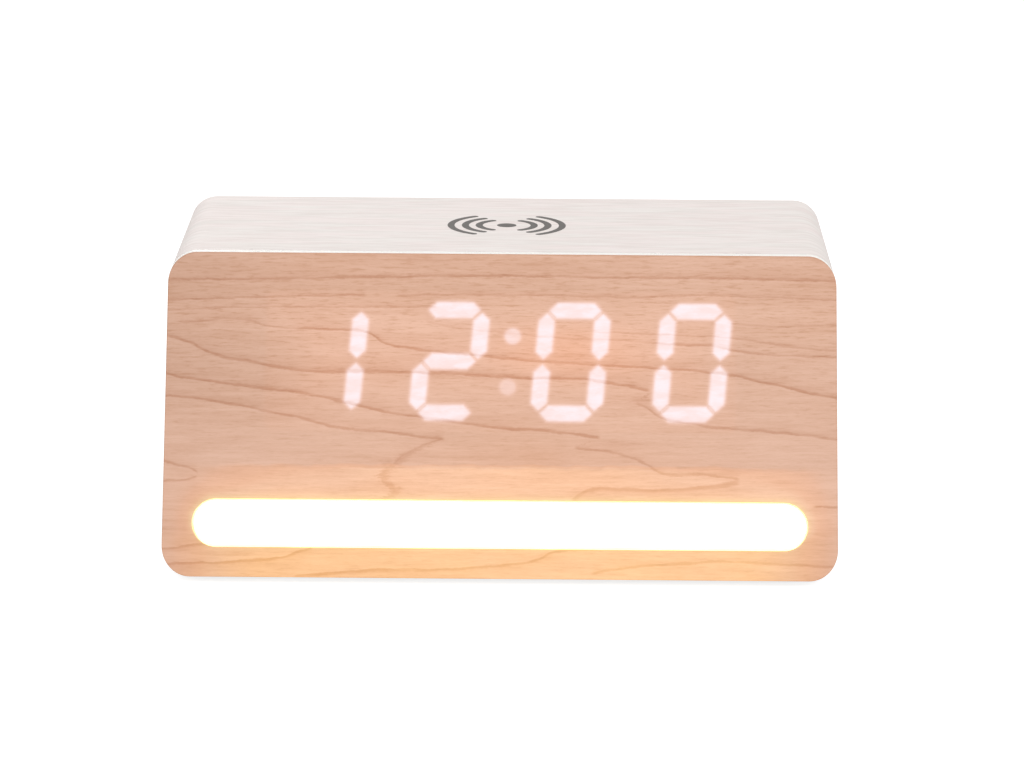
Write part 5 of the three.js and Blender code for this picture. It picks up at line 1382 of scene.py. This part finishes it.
class CLOCK_OT_light_bar(bpy.types.Operator):
    """Builds the lit opal bar."""

    bl_idname = "clock.light_bar"
    bl_label = "Light bar"

    def execute(self, context):
        """Makes the piece."""
        shape, light = context.scene.clock_shape, context.scene.clock_light
        edge = case_edge_depth()
        form = bar_form(0, edge, 0)
        soften(form, BAR_ROUND, 4, at_depth(0))
        form = fused(form, bar_form(BAR_FLANGE, edge - BAR_FLANGE_THICK, edge))
        material, net, shader = blank("opal_diffuser")
        place = face_place(net)
        away = bar_outline(net, place, "distance", shape)["Distance"]
        u, _, _ = net.split(place)
        lamps = net.math("COSINE", net.times(u, 2 * math.pi / LAMP_PITCH))
        level = net.ramp(lamps, -1.0, 1.0, 0.96, 1.04, "LINEAR")
        skin = net.ramp(net.noise(place, (0.4, 0.4, 0.4), 3.0), 0.3, 0.7, 0.98, 1.02, "LINEAR")
        level = net.times(level, skin)
        colour = net.mix(net.ramp(away, -0.55, -0.02), tuple(light.bar_colour), BAR_RIM_COLOUR)
        shine = net.tinted(colour, net.grey(level))
        net.feed(shader.inputs["Emission Color"], shine)
        shader.inputs["Emission Strength"].default_value = light.bar
        net.feed(shader.inputs["Base Color"], net.mix(skin, linear(250, 246, 236), linear(255, 252, 245)))
        net.feed(shader.inputs["Roughness"], net.ramp(skin, 0.98, 1.02, 0.35, 0.45, "LINEAR"))
        finished("light_bar", form, material, "case", "opal_diffuser", "light_bar_diffuser")
        return {"FINISHED"}


class CLOCK_OT_display(bpy.types.Operator):
    """Builds the lit digits and dots in the film."""

    bl_idname = "clock.display"
    bl_label = "Lit digits"

    def execute(self, context):
        """Makes the pieces."""
        scene = context.scene
        shape, colours, light = scene.clock_shape, scene.clock_colours, scene.clock_light
        if len(shape.time_shown) != 4 or not set(shape.time_shown) <= set(FIGURES):
            raise RuntimeError("the time shown needs four figures")
        digits, dots = display_outlines()
        material = cherry_film("cherry_display", shape, colours, light, "lit")
        sheet = halo_sheet([(points, 1.0) for digit in digits for points in digit] + dots)
        finished("display_window", moved(sheet, FACE), material, "case", "cherry_veneer")
        for number, digit in enumerate(digits, 1):
            patches = [lit_patch(points, 1.0) for points in digit]
            finished(f"lit_digit_{number}", moved(together(*patches), FACE), material, "case",
                     "cherry_veneer")
        patches = [lit_patch(points, level) for points, level in dots]
        finished("lit_dots", moved(together(*patches), FACE), material, "case", "cherry_veneer")
        return {"FINISHED"}


# The charging sign: arcs as outer and inner radius in millimetres, and the half angle of each.
SIGN_DOT = 2.25 * MM
SIGN_ARCS = ((13.7, 12.1, 54.5), (10.4, 8.75, 56.3), (7.2, 5.55, 59.2))
SIGN_PLACE = 0.65 * MM
# Its underside and top over the case, and the rounding of its rim.
SIGN_LAYER = (0.004 * MM, 0.03 * MM, 0.004 * MM)


def sign_arc(outer, inner, first, last):
    """The outline of one arc with round ends, between two angles."""
    def cap(angle, start):
        """The round end at an angle, begun at another."""
        middle = (outer + inner) / 2 * MM
        centre = middle * math.cos(angle * DEG), middle * math.sin(angle * DEG)
        return arc(centre, (outer - inner) / 2 * MM, start, start + 180, 10)[1:-1]

    return (arc((0, 0), outer * MM, first, last, 40) + cap(last, last)
            + arc((0, 0), inner * MM, last, first, 40) + cap(first, first + 180))


class CLOCK_OT_sign(bpy.types.Operator):
    """Prints the charging sign on the top."""

    bl_idname = "clock.sign"
    bl_label = "Charging sign"

    def execute(self, context):
        """Makes the piece."""
        colours = context.scene.clock_colours
        forms = [plate([ring(SIGN_DOT, (0, 0), 64)], *SIGN_LAYER)]
        for outer, inner, half in SIGN_ARCS:
            for side in (0, 180):
                forms.append(plate([sign_arc(outer, inner, side - half, side + half)], *SIGN_LAYER))
        form = moved(together(*forms), Matrix.Translation((SIGN_PLACE, TOP_CENTRE, TOP)))
        material, net, shader = blank("sign_ink")
        place = object_place(net)
        ink = net.noise(place, (1.4, 4.0, 1.4), 4.0, 0.7)
        worn = net.ramp(ink, 0.56, 0.80, 0.0, 0.25)
        net.feed(shader.inputs["Base Color"], net.mix(worn, tuple(colours.sign), tuple(colours.white_deep)))
        net.feed(shader.inputs["Roughness"], net.ramp(ink, 0.2, 0.8, 0.45, 0.65, "LINEAR"))
        shader.inputs["Specular IOR Level"].default_value = 0.2
        bump(net, shader, ink, 0.01 * MM, 0.4)
        finished("charging_sign", form, material, "case", "white_grain_film")
        return {"FINISHED"}


# The rear cover's openings.
BUTTON_HOLE = 3.65 * MM
SOUND_HOLE, SOUND_RING, SOUND_HOLES = 0.8 * MM, 3 * MM, 6
VENT_COUNT, VENT_PITCH = 9, 7 * MM
VENT_WIDTH, VENT_HEIGHT, VENT_DROP = 1.8 * MM, 7 * MM, 9.5 * MM
INLET_GAP = 0.3 * MM
HEAD_HOLE, HEAD_DEPTH = 2.7 * MM, 1 * MM
DOOR_HOLE, NOTCH_RADIUS, NOTCH_SWEEP = 12.5 * MM, 14.3 * MM, 38
COVER_CORNER_INSET = 1.7 * MM
COVER_ROUND = 0.22 * MM


class CLOCK_OT_rear_cover(bpy.types.Operator):
    """Builds the rear cover with its vents, holes and battery pocket."""

    bl_idname = "clock.rear_cover"
    bl_label = "Rear cover"

    def execute(self, context):
        """Makes the piece."""
        shape, colours = context.scene.clock_shape, context.scene.clock_colours
        outlines = [rounded(COVER_HIGH.x - COVER_LOW.x, COVER_HIGH.z - COVER_LOW.z,
                            shape.corner - COVER_CORNER_INSET, (0, MIDDLE))]
        outlines += [ring(BUTTON_HOLE, place) for place in button_places().values()]
        outlines += [ring(SOUND_HOLE, place, 24) for place in sound_places()]
        outlines += [ring(PILOT_RADIUS, place, 32) for place in case_screw_places()]
        for vent in range(VENT_COUNT):
            place = ((vent - VENT_COUNT // 2) * VENT_PITCH, TOP - VENT_DROP)
            outlines.append(rounded(VENT_WIDTH, VENT_HEIGHT, VENT_WIDTH / 2, place, 8))
        low, high = box_of("usb_shell")
        inlet = high.z - low.z + 2 * INLET_GAP
        outlines.append(rounded(high.x - low.x + 2 * INLET_GAP, inlet, inlet / 2 - HAIR,
                                (0, (low.z + high.z) / 2)))
        outlines.append(door_opening())
        form = moved(plate(outlines, -COVER_FACE, -COVER_BACK, COVER_ROUND), UPRIGHT)
        for x, z in case_screw_places():
            form = cut(form, upright_bar(HEAD_HOLE, x, z, COVER_FACE - HEAD_DEPTH, COVER_FACE + OVERRUN))
        inner = sliced(copied("rear_cover"), (0, COVER_BACK - HAIR, 0), (0, 1, 0))
        finished("rear_plate", together(form, inner),
                 moulded("rear_plastic", tuple(colours.rear), 7.0, 0.52, 0.035), "case",
                 "rear_plastic", "rear_cover", crease=10)
        return {"FINISHED"}


def button_places():
    """The middle of each button, as X and Z."""
    return {name: middle_of(f"button_{name}") for name in ("set", "up", "down", "light")}


def sound_places():
    """The middles of the sound holes, as X and Z."""
    middle = middle_of("sounder")
    return [middle] + ring(SOUND_RING, middle, SOUND_HOLES)


def door_opening():
    """The round opening of the battery door with its two entry notches, as X and Z."""
    centre = middle_of("battery_door")
    half = NOTCH_SWEEP / 2
    points = []
    for middle in (-45, 135):
        points += arc(centre, NOTCH_RADIUS, middle - half, middle + half, 12)
        points += arc(centre, DOOR_HOLE, middle + half, middle + 180 - half, 40)
    return points


# Turned profiles, as radius and height in millimetres. A button's and the door's start at their back.
SCREW_PROFILE = ((0, -9), (0.6, -9), (1.0, -8), (1.0, 0), (2.5, 0), (2.5, 0.75), (2.32, 1.0), (1.9, 1.2),
                 (1.2, 1.3), (0, 1.32))
CROSS_LENGTH, CROSS_WIDTH, CROSS_CORNER = 2.8 * MM, 0.5 * MM, 0.24 * MM
CROSS_FLOOR, CROSS_TOP = 0.5 * MM, 2.4 * MM
CROSS_TURN = 21


def lathe(profile, steps):
    """A profile in millimetres, spun round Z."""
    return turned([(radius * MM, height * MM) for radius, height in profile], steps)


class CLOCK_OT_rear_screws(bpy.types.Operator):
    """Builds the four rear screws."""

    bl_idname = "clock.rear_screws"
    bl_label = "Rear screws"

    def execute(self, context):
        """Makes the pieces."""
        steel = metal("screw_steel", linear(190, 192, 195), linear(140, 138, 134), (5.0, 5.0, 5.0))
        for number, (x, z) in enumerate(case_screw_places(), 1):
            form = lathe(SCREW_PROFILE, 40)
            for turn in (0, 90):
                blade = prism(CROSS_LENGTH, CROSS_WIDTH, CROSS_CORNER, CROSS_FLOOR, CROSS_TOP, steps=4)
                form = cut(form, moved(blade, Matrix.Rotation((turn + CROSS_TURN * number) * DEG, 4, "Z")))
            form = moved(form, Matrix.Rotation(180 * DEG, 4, "X"))
            seat = Matrix.Translation((x, COVER_FACE - HEAD_DEPTH, z)) @ UPRIGHT
            finished(f"cover_screw_{number}", moved(closed(form), seat), steel, "case", "screw_steel",
                     f"rear_screw_{number}")
        return {"FINISHED"}


class CLOCK_OT_buttons(bpy.types.Operator):
    """Builds the four push buttons."""

    bl_idname = "clock.buttons"
    bl_label = "Push buttons"

    def execute(self, context):
        """Makes the pieces."""
        plastic = moulded("button_plastic", tuple(context.scene.clock_colours.button), 10.0, 0.42, 0.015)
        for name, (x, z) in button_places().items():
            low, high = box_of(f"button_{name}")
            back, top = low.y / MM, high.y / MM
            profile = [(0, back), (4.4, back), (4.5, back + 0.1), (4.5, back + 0.9), (4.4, back + 1),
                       (3.5, back + 1), (3.5, top - 0.5), (3.43, top - 0.25), (3.25, top - 0.06),
                       (3.0, top), (2.6, top - 0.02), (1.6, top - 0.1), (0, top - 0.14)]
            form = lathe([(radius, -height) for radius, height in profile], 56)
            place = Matrix.Translation((x, 0, z)) @ UPRIGHT
            finished(f"push_button_{name}", moved(form, place), plastic, f"{name}_button",
                     "button_plastic", f"button_{name}")
        return {"FINISHED"}


# The door's thickness in millimetres, and the length of its coin slot.
DOOR_THICK = 1.2
COIN_SLOT = 14 * MM


class CLOCK_OT_battery_door(bpy.types.Operator):
    """Builds the twist-off battery door."""

    bl_idname = "clock.battery_door"
    bl_label = "Battery door"

    def execute(self, context):
        """Makes the piece."""
        x, z = middle_of("battery_door")
        face, back = COVER_FACE / MM, COVER_FACE / MM - DOOR_THICK
        profile = [(0, back), (12.1, back), (12.2, back + 0.1), (12.2, face - 0.3), (12.12, face - 0.09),
                   (11.9, face), (9.7, face), (9.55, face - 0.12), (9.2, face - 0.12), (9.05, face),
                   (0, face)]
        form = lathe([(radius, -height) for radius, height in profile], 96)
        slot = prism(COIN_SLOT, 1.8 * MM, 0.85 * MM, -(face + 1) * MM, -(face - 0.6) * MM)
        form = closed(cut(form, slot))
        soften(form, 0.12 * MM, 2, lambda place: abs(place.z + COVER_FACE) < NEAR
               and place.xy.length < COIN_SLOT / 2 + OVERRUN)
        form = moved(form, Matrix.Translation((x, 0, z)) @ UPRIGHT)
        skirt = sliced(copied("battery_door"), (0, back * MM - HAIR, 0), (0, 1, 0))
        plastic = moulded("door_plastic", tuple(context.scene.clock_colours.rear), 7.0, 0.5, 0.03)
        finished("twist_door", together(form, skirt), plastic, "door", "rear_plastic", "battery_door")
        return {"FINISHED"}


# The inlet: its shell's wall, and its contacts' count on each side, pitch, width, height and run.
INLET_WALL = 0.3 * MM
CONTACTS, CONTACT_PITCH = 12, 0.5 * MM
CONTACT_SIZE, CONTACT_CORNER = (0.26 * MM, 0.04 * MM), 0.015 * MM
CONTACT_RUN = (0.45 * MM, 3.4 * MM)


class CLOCK_OT_usb_inlet(bpy.types.Operator):
    """Builds the shell and the tongue of the inlet."""

    bl_idname = "clock.usb_inlet"
    bl_label = "Power inlet"

    def execute(self, context):
        """Makes the pieces."""
        low, high = box_of("usb_shell")
        width, height, z = high.x - low.x, high.z - low.z, (low.z + high.z) / 2
        form = prism(width, height, height / 2 - HAIR, -high.y, -low.y, (0, z))
        inner = height - 2 * INLET_WALL
        bore = prism(width - 2 * INLET_WALL, inner, inner / 2 - HAIR, -high.y - OVERRUN, -low.y - OVERRUN,
                     (0, z))
        form = closed(cut(form, bore))
        soften(form, 0.09 * MM, 2, lambda place: abs(place.z + high.y) < NEAR)
        steel = metal("port_steel", linear(206, 207, 208), linear(150, 148, 143), (6.0, 0.6, 6.0))
        finished("inlet_shell", moved(form, UPRIGHT), steel, "case", "port_steel", "usb_shell")

        low, high = box_of("usb_tongue")
        tongue = prism(high.x - low.x, high.z - low.z, 0.1 * MM, -high.y, -low.y, (0, z), 3)
        soften(tongue, 0.15 * MM, 3, lambda place: abs(place.z + high.y) < NEAR)
        finished("inlet_tongue", moved(tongue, UPRIGHT),
                 moulded("black_plastic", linear(36, 36, 38), 9.0, 0.5, 0.02), "case",
                 "black_plastic", "usb_tongue")
        pads = []
        near, far = CONTACT_RUN
        for index in range(CONTACTS):
            for side in (-1, 1):
                place = ((index - (CONTACTS - 1) / 2) * CONTACT_PITCH, z + side * (high.z - low.z) / 2)
                pads.append(prism(*CONTACT_SIZE, CONTACT_CORNER, -high.y + near, -high.y + far, place, 2))
        gold = metal("contact_gold", linear(214, 176, 98), linear(168, 130, 70), (6.0, 0.5, 6.0))
        finished("inlet_contacts", moved(together(*pads), UPRIGHT), gold, "case", "contact_metal")
        return {"FINISHED"}


class CLOCK_OT_feet(bpy.types.Operator):
    """Builds the four rubber feet."""

    bl_idname = "clock.feet"
    bl_label = "Feet"

    def execute(self, context):
        """Makes the pieces."""
        rubber = moulded("foot_rubber", linear(58, 58, 60), 6.0, 0.8, 0.05)
        for number in range(1, 5):
            low, high = box_of(f"foot_{number}")
            middle = (low + high) / 2
            top = high.z / MM
            profile = [(0, 0.12), (3.2, 0.12), (3.4, 0.0), (4.5, 0.0), (4.8, 0.1), (4.95, 0.3), (5, 0.55),
                       (5, top - 0.1), (4.9, top), (0, top)]
            form = lathe(profile, 48)
            place = Matrix.Translation((middle.x, middle.y, 0))
            finished(f"rubber_foot_{number}", moved(form, place), rubber, "case", "foot_rubber",
                     f"foot_{number}")
        return {"FINISHED"}


class CLOCK_OT_wiring(bpy.types.Operator):
    """Builds the wound coil, the leads and the ribbon inside the case."""

    bl_idname = "clock.wiring"
    bl_label = "Coil, leads and ribbon"

    def execute(self, context):
        """Makes the pieces."""
        copper = metal("coil_copper", linear(190, 112, 62), linear(132, 70, 38), (1.2, 1.2, 1.2))
        finished("wound_coil", wire(coil_points(), coil_wire_radius(), 12), copper, "case",
                 "coil_copper", "charging_coil", crease=60)
        sleeve = moulded("lead_sleeve", linear(46, 44, 46), 4.0, 0.55, 0.01)
        for name, points in lead_routes().items():
            finished(f"{name}_wire", wire(points, LEAD_RADIUS, 16), sleeve, "case", "lead_sleeve", name,
                     crease=60)
        finished("flat_ribbon", ribbon_form(), ribbon_look(), "case", "ribbon", "display_ribbon",
                 crease=60)
        return {"FINISHED"}


# The coil's size as shares of the top's depth, of its own radius and of its pitch, and its depth.
COIL_SHARE, COIL_INNER_SHARE, WIRE_SHARE = 0.3127, 0.479, 0.32
COIL_DROP = 2.8 * MM
COIL_TURNS = 8
COIL_STEPS = 48
BOARD_THICK = 1.6 * MM
LEAD_GAP = 0.3 * MM
LEAD_RADIUS, LEAD_STUB = 0.7 * MM, 2.8 * MM
# Each lead of the coil: turns past its end, share of its radius and share of the drop to the board.
INNER_LEAD = ((-0.05, 0.91, 0), (-0.1, 0.79, 0.002), (-0.14, 0.7, 0.008), (-0.17, 0.64, 0.03),
              (-0.18, 0.6, 0.1), (-0.18, 0.57, 0.35), (-0.18, 0.56, 0.65), (-0.18, 0.55, 0.94),
              (-0.18, 0.55, 1))
OUTER_LEAD = ((0.015, 1.03, 0.01), (0.025, 1.05, 0.04), (0.028, 1.05, 0.09), (0.028, 0.98, 0.2),
              (0.028, 0.8, 0.45), (0.028, 0.62, 0.7), (0.028, 0.56, 0.94), (0.028, 0.56, 1))


def coil_sizes():
    """The coil's outer and inner radius and its pitch."""
    outer = (REAR - FRONT - BODY_HEIGHT * math.tan(LEAN)) * COIL_SHARE
    inner = outer * COIL_INNER_SHARE
    return outer, inner, (outer - inner) / COIL_TURNS


def coil_wire_radius():
    """The radius of the coil's wire."""
    return coil_sizes()[2] * WIRE_SHARE


def coil_points():
    """The route of the coil's wire, from its inner lead to its outer one."""
    outer, inner, pitch = coil_sizes()
    level = TOP - COIL_DROP - coil_wire_radius()
    drop = level - (box_of("charger_board")[1].z - BOARD_THICK + LEAD_GAP)

    def at(turn, radius, height):
        """The place after some turns, at a radius and a height."""
        angle = 90 * DEG + turn * 360 * DEG
        return Vector((radius * math.cos(angle), TOP_CENTRE + radius * math.sin(angle), height))

    start = [at(turn, inner * share, level - drop * low) for turn, share, low in INNER_LEAD]
    end = [at(COIL_TURNS + turn, outer * share, level - drop * low) for turn, share, low in OUTER_LEAD]
    turns = [at(step / COIL_STEPS, inner + pitch * step / COIL_STEPS, level)
             for step in range(COIL_TURNS * COIL_STEPS + 1)]
    return start[::-1] + turns + end


def lead_route(start, start_way, end, end_way):
    """A lead that leaves both its ends straight."""
    near, far = start + start_way * LEAD_STUB, end + end_way * LEAD_STUB
    span = (start - end).length / 2
    return [start] + bezier(near, near + start_way * span, far + end_way * span, far) + [end]


def lead_routes():
    """The routes of the two leads."""
    board_low, board_high = box_of("charger_board")
    level = board_high.z - BOARD_THICK + LEAD_GAP
    back = FACE.inverted()
    corners = [back @ vertex.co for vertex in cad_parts["light_lead"].data.vertices]
    nearest = max(corners, key=lambda place: place.z)
    ends = [place for place in corners if nearest.z - place.z < 0.01 * MM]
    middle = sum(ends, Vector()) / len(ends)
    light = lead_route(FACE @ Vector((0, middle.y, nearest.z)), -FACE_OUT,
                       Vector((0, board_low.y + LEAD_STUB, level)), Vector((0, 0, 1)))
    low, high = box_of("power_lead")
    x = (low.x + high.x) / 2
    main_low, main_high = box_of("main_board")
    height = (main_low.z + main_high.z) / 2 - (main_high.z - main_low.z) / 4
    power = lead_route(Vector((x, (board_low.y + board_high.y) / 2, level)), Vector((0, 0, 1)),
                       Vector((x, high.y, height)), Vector((0, -1, 0)))
    return {"light_lead": light, "power_lead": power}


# The ribbon: where it leaves the display's plug, how far it runs straight, its width and thickness.
RIBBON_START, RIBBON_PLUG = -16.9 * MM, -16.6 * MM
RIBBON_RUN = 24 * MM
RIBBON_WIDTH, RIBBON_THICK, RIBBON_ROUND = 12 * MM, 0.5 * MM, 0.1 * MM


def ribbon_form():
    """The flat ribbon between the display board and the main board."""
    low, high = box_of("display_ribbon")
    main_low, main_high = box_of("main_board")
    middle = (main_low.z + main_high.z) / 2
    shape = bpy.context.scene.clock_shape
    start = FACE @ Vector((0, shape.digit_centre[1], RIBBON_START))
    leave = FACE @ Vector((0, shape.digit_centre[1], RIBBON_PLUG - RIBBON_RUN))
    end = Vector((0, high.y, middle))
    arrive = end - Vector((0, RIBBON_RUN, 0))
    points = bezier(start, leave, arrive, end, 32)
    upper, lower = [], []
    for index, point in enumerate(points):
        way = points[min(index + 1, len(points) - 1)] - points[max(index - 1, 0)]
        side = Vector((0, -way.z, way.y)).normalized() * RIBBON_THICK / 2
        upper.append(((point + side).y, (point + side).z))
        lower.append(((point - side).y, (point - side).z))
    form = plate([upper + lower[::-1]], -RIBBON_WIDTH / 2, RIBBON_WIDTH / 2, RIBBON_ROUND)
    place = Matrix(((0, 0, 1, (low.x + high.x) / 2), (1, 0, 0, 0), (0, 1, 0, 0), (0, 0, 0, 1)))
    return closed(moved(form, place))


def ribbon_look():
    """Grey ribbon with one conductor beside another, and painted shade in the grooves between them."""
    material, net, shader = blank("ribbon_sleeve")
    place = object_place(net)
    x, _, _ = net.split(place)
    wave = net.math("COSINE", net.times(x, 2 * math.pi / 1.0))
    groove = net.ramp(wave, -1.0, -0.4, 0.0, 1.0)
    wear = net.noise(place, (0.6, 0.6, 0.6), 3.0)
    # Painted shade: the narrow grooves between the conductors are coloured darker.
    colour = net.mix(groove, linear(150, 150, 152), linear(214, 214, 214))
    colour = net.mix(net.ramp(wear, 0.4, 0.8, 0.0, 0.3), colour, linear(186, 184, 180))
    net.feed(shader.inputs["Base Color"], colour)
    net.feed(shader.inputs["Roughness"], net.ramp(wear, 0.2, 0.8, 0.42, 0.58, "LINEAR"))
    bump(net, shader, groove, 0.1 * MM, 0.8)
    return material


class CLOCK_OT_inner_looks(bpy.types.Operator):
    """Gives the carried-over inner pieces their materials."""

    bl_idname = "clock.inner_looks"
    bl_label = "Inner pieces"

    def execute(self, context):
        """Assigns the materials."""
        white = moulded("white_plastic", linear(240, 240, 237), 6.0, 0.5, 0.02)
        reflector = moulded("reflector_plastic", linear(247, 247, 245), 5.0, 0.35, 0.01)
        film = moulded("window_film", linear(236, 232, 226), 12.0, 0.55, 0.01)
        black = moulded("switch_plastic", linear(34, 34, 36), 9.0, 0.5, 0.02)
        ferrite = moulded("ferrite", linear(70, 70, 73), 3.0, 0.7, 0.04)
        green = circuit("circuit_board", linear(24, 84, 52), linear(44, 116, 70))
        pale = circuit("lamp_board", linear(226, 226, 220), linear(240, 240, 236))
        cell = metal("cell_steel", linear(196, 197, 199), linear(158, 156, 152), (3.0, 3.0, 3.0))
        gold = metal("contact_metal", linear(214, 182, 112), linear(170, 138, 80), (3.0, 0.5, 3.0))
        steel = metal("inner_screw_steel", linear(186, 188, 191), linear(140, 138, 134), (5.0, 5.0, 5.0))
        looks = {
            "light_tray": white, "coil_carrier": white, "display_reflector": reflector,
            "window_film": film, "display_board": green, "main_board": green,
            "charger_board": green, "light_board": pale, "sounder": black,
            "coin_cell": cell, "battery_contact_negative": gold, "battery_contact_positive": gold,
            "ferrite_sheet": ferrite,
        }
        for name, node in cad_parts.items():
            if node.hide_render:
                continue
            material = looks.get(name)
            if name.startswith("switch_"):
                material = black
            if "_screw_" in name:
                material = steel
            if material is None:
                raise RuntimeError(f"no material for {name}")
            node.data.materials.clear()
            node.data.materials.append(material)
        return {"FINISHED"}


# Camera: place, aim and turn found from the outline of the object in the picture.
CAMERA_TARGET = (2.53 * MM, -50.0 * MM, 45.28 * MM)
CAMERA_DISTANCE = 1.036
CAMERA_ELEVATION = 12.96 * DEG
CAMERA_YAW = -0.36 * DEG
CAMERA_ROLL = 0.37 * DEG
CAMERA_LENS = 166.08


# Each lamp's name, place in metres and power. All are squares of one size, aimed at one place.
LAMPS = (("key", (0.10, -1.50, 0.85), 9.6), ("fill", (1.00, -0.60, 0.50), 2.6),
         ("rear", (-0.50, 1.20, 0.80), 3.5))
LAMP_SIZE = 0.9
LAMP_AIM = (0, 0, 0.035)
# How bright the surround is to the object, and the floor's own grey and what is added to the eye's view.
SURROUND_LEVEL = 0.75
FLOOR_GREY, FLOOR_LIFT = 0.45, 0.80


def seen_directly(net):
    """1 for rays of the camera, of mirror images and through glass, and 0 for the others."""
    path = net.add("ShaderNodeLightPath")
    seen = net.math("MAXIMUM", path.outputs["Is Camera Ray"], path.outputs["Is Glossy Ray"])
    return net.math("MAXIMUM", seen, path.outputs["Is Transmission Ray"])


class CLOCK_OT_stage(bpy.types.Operator):
    """Sets the white stage, the lamps and the camera."""

    bl_idname = "clock.stage"
    bl_label = "Stage"

    def execute(self, context):
        """Makes the floor, the lamps, the world and the camera."""
        scene = context.scene
        scene.view_settings.view_transform = "Standard"
        floor = bmesh.new()
        bmesh.ops.create_grid(floor, x_segments=2, y_segments=2, size=3.0)
        mesh = bpy.data.meshes.new("floor")
        floor.to_mesh(mesh)
        floor.free()
        ground = bpy.data.objects.new("floor", mesh)
        scene.collection.objects.link(ground)
        mesh.materials.append(self.floor_look())
        self.world(scene)
        for name, place, power in LAMPS:
            self.lamp(name, place, power)
        self.camera(scene)
        return {"FINISHED"}

    def floor_look(self):
        """A white floor that keeps the object's shadow."""
        material, net, shader = blank("white_floor")
        shader.inputs["Base Color"].default_value = (FLOOR_GREY, FLOOR_GREY, FLOOR_GREY, 1)
        shader.inputs["Roughness"].default_value = 0.9
        shader.inputs["Specular IOR Level"].default_value = 0.0
        lift = net.times(seen_directly(net), FLOOR_LIFT)
        net.feed(shader.inputs["Emission Color"], net.grey(lift))
        shader.inputs["Emission Strength"].default_value = 1.0
        return material

    def world(self, scene):
        """A plain white surround, brighter to the eye than to the object."""
        world = bpy.data.worlds.new("white surround")
        world.use_nodes = True
        scene.world = world
        net = Net(world.node_tree)
        background = next(node for node in world.node_tree.nodes if node.type == "BACKGROUND")
        background.inputs["Color"].default_value = (1, 1, 1, 1)
        net.feed(background.inputs["Strength"],
                 net.ramp(seen_directly(net), 0.0, 1.0, SURROUND_LEVEL, 1.0, "LINEAR"))

    def lamp(self, name, place, power):
        """A soft square lamp that looks at the object."""
        data = bpy.data.lights.new(name, "AREA")
        data.shape = "SQUARE"
        data.size = LAMP_SIZE
        data.energy = power
        lamp = bpy.data.objects.new(name, data)
        lamp.location = place
        aim = Vector(LAMP_AIM) - Vector(place)
        lamp.rotation_mode = "QUATERNION"
        lamp.rotation_quaternion = aim.to_track_quat("-Z", "Y")
        bpy.context.scene.collection.objects.link(lamp)

    def camera(self, scene):
        """The camera at the picture's angle."""
        data = bpy.data.cameras.new("camera")
        data.sensor_fit = "HORIZONTAL"
        data.sensor_width = 36
        data.lens = CAMERA_LENS
        data.clip_start, data.clip_end = 0.05, 20
        cosine, sine = math.cos(CAMERA_ELEVATION), math.sin(CAMERA_ELEVATION)
        ahead = Vector((math.sin(CAMERA_YAW) * cosine, math.cos(CAMERA_YAW) * cosine, -sine))
        right = Vector((math.cos(CAMERA_YAW), -math.sin(CAMERA_YAW), 0))
        up = right.cross(ahead)
        turned_right = right * math.cos(CAMERA_ROLL) + up * math.sin(CAMERA_ROLL)
        turned_up = up * math.cos(CAMERA_ROLL) - right * math.sin(CAMERA_ROLL)
        place = Vector(CAMERA_TARGET) - ahead * CAMERA_DISTANCE
        matrix = Matrix((turned_right, turned_up, -ahead)).transposed().to_4x4()
        matrix.translation = place
        camera = bpy.data.objects.new("camera", data)
        camera.matrix_world = matrix
        scene.collection.objects.link(camera)
        scene.camera = camera


STEPS = (
    CLOCK_OT_case, CLOCK_OT_front, CLOCK_OT_light_bar, CLOCK_OT_display, CLOCK_OT_sign,
    CLOCK_OT_rear_cover, CLOCK_OT_rear_screws, CLOCK_OT_buttons, CLOCK_OT_battery_door,
    CLOCK_OT_usb_inlet, CLOCK_OT_feet, CLOCK_OT_wiring, CLOCK_OT_inner_looks, CLOCK_OT_stage,
)


class CLOCK_PT_panel(bpy.types.Panel):
    """Lists the settings and the steps in the 3D view's sidebar."""

    bl_idname = "CLOCK_PT_panel"
    bl_label = "Alarm Clock"
    bl_space_type = "VIEW_3D"
    bl_region_type = "UI"
    bl_category = "Alarm Clock"

    def draw(self, context):
        """Draws the settings and one button for each step."""
        layout = self.layout
        for settings in (context.scene.clock_shape, context.scene.clock_colours, context.scene.clock_light):
            box = layout.box()
            for name in settings.__annotations__:
                box.prop(settings, name)
        for step in STEPS:
            layout.operator(step.bl_idname)


CLASSES = (ClockShape, ClockColours, ClockLight, *STEPS, CLOCK_PT_panel)


def register():
    """Registers the classes and hangs the settings on the scene."""
    for item in CLASSES:
        bpy.utils.register_class(item)
    bpy.types.Scene.clock_shape = bpy.props.PointerProperty(type=ClockShape)
    bpy.types.Scene.clock_colours = bpy.props.PointerProperty(type=ClockColours)
    bpy.types.Scene.clock_light = bpy.props.PointerProperty(type=ClockLight)


def unregister():
    """Takes the settings and the classes away."""
    del bpy.types.Scene.clock_light
    del bpy.types.Scene.clock_colours
    del bpy.types.Scene.clock_shape
    for item in reversed(CLASSES):
        bpy.utils.unregister_class(item)


def main():
    """Builds everything in order."""
    register()
    make_groups()
    for step in STEPS:
        space, name = step.bl_idname.split(".")
        getattr(getattr(bpy.ops, space), name)()
    bpy.context.view_layer.update()


if __name__ == "__main__":
    main()
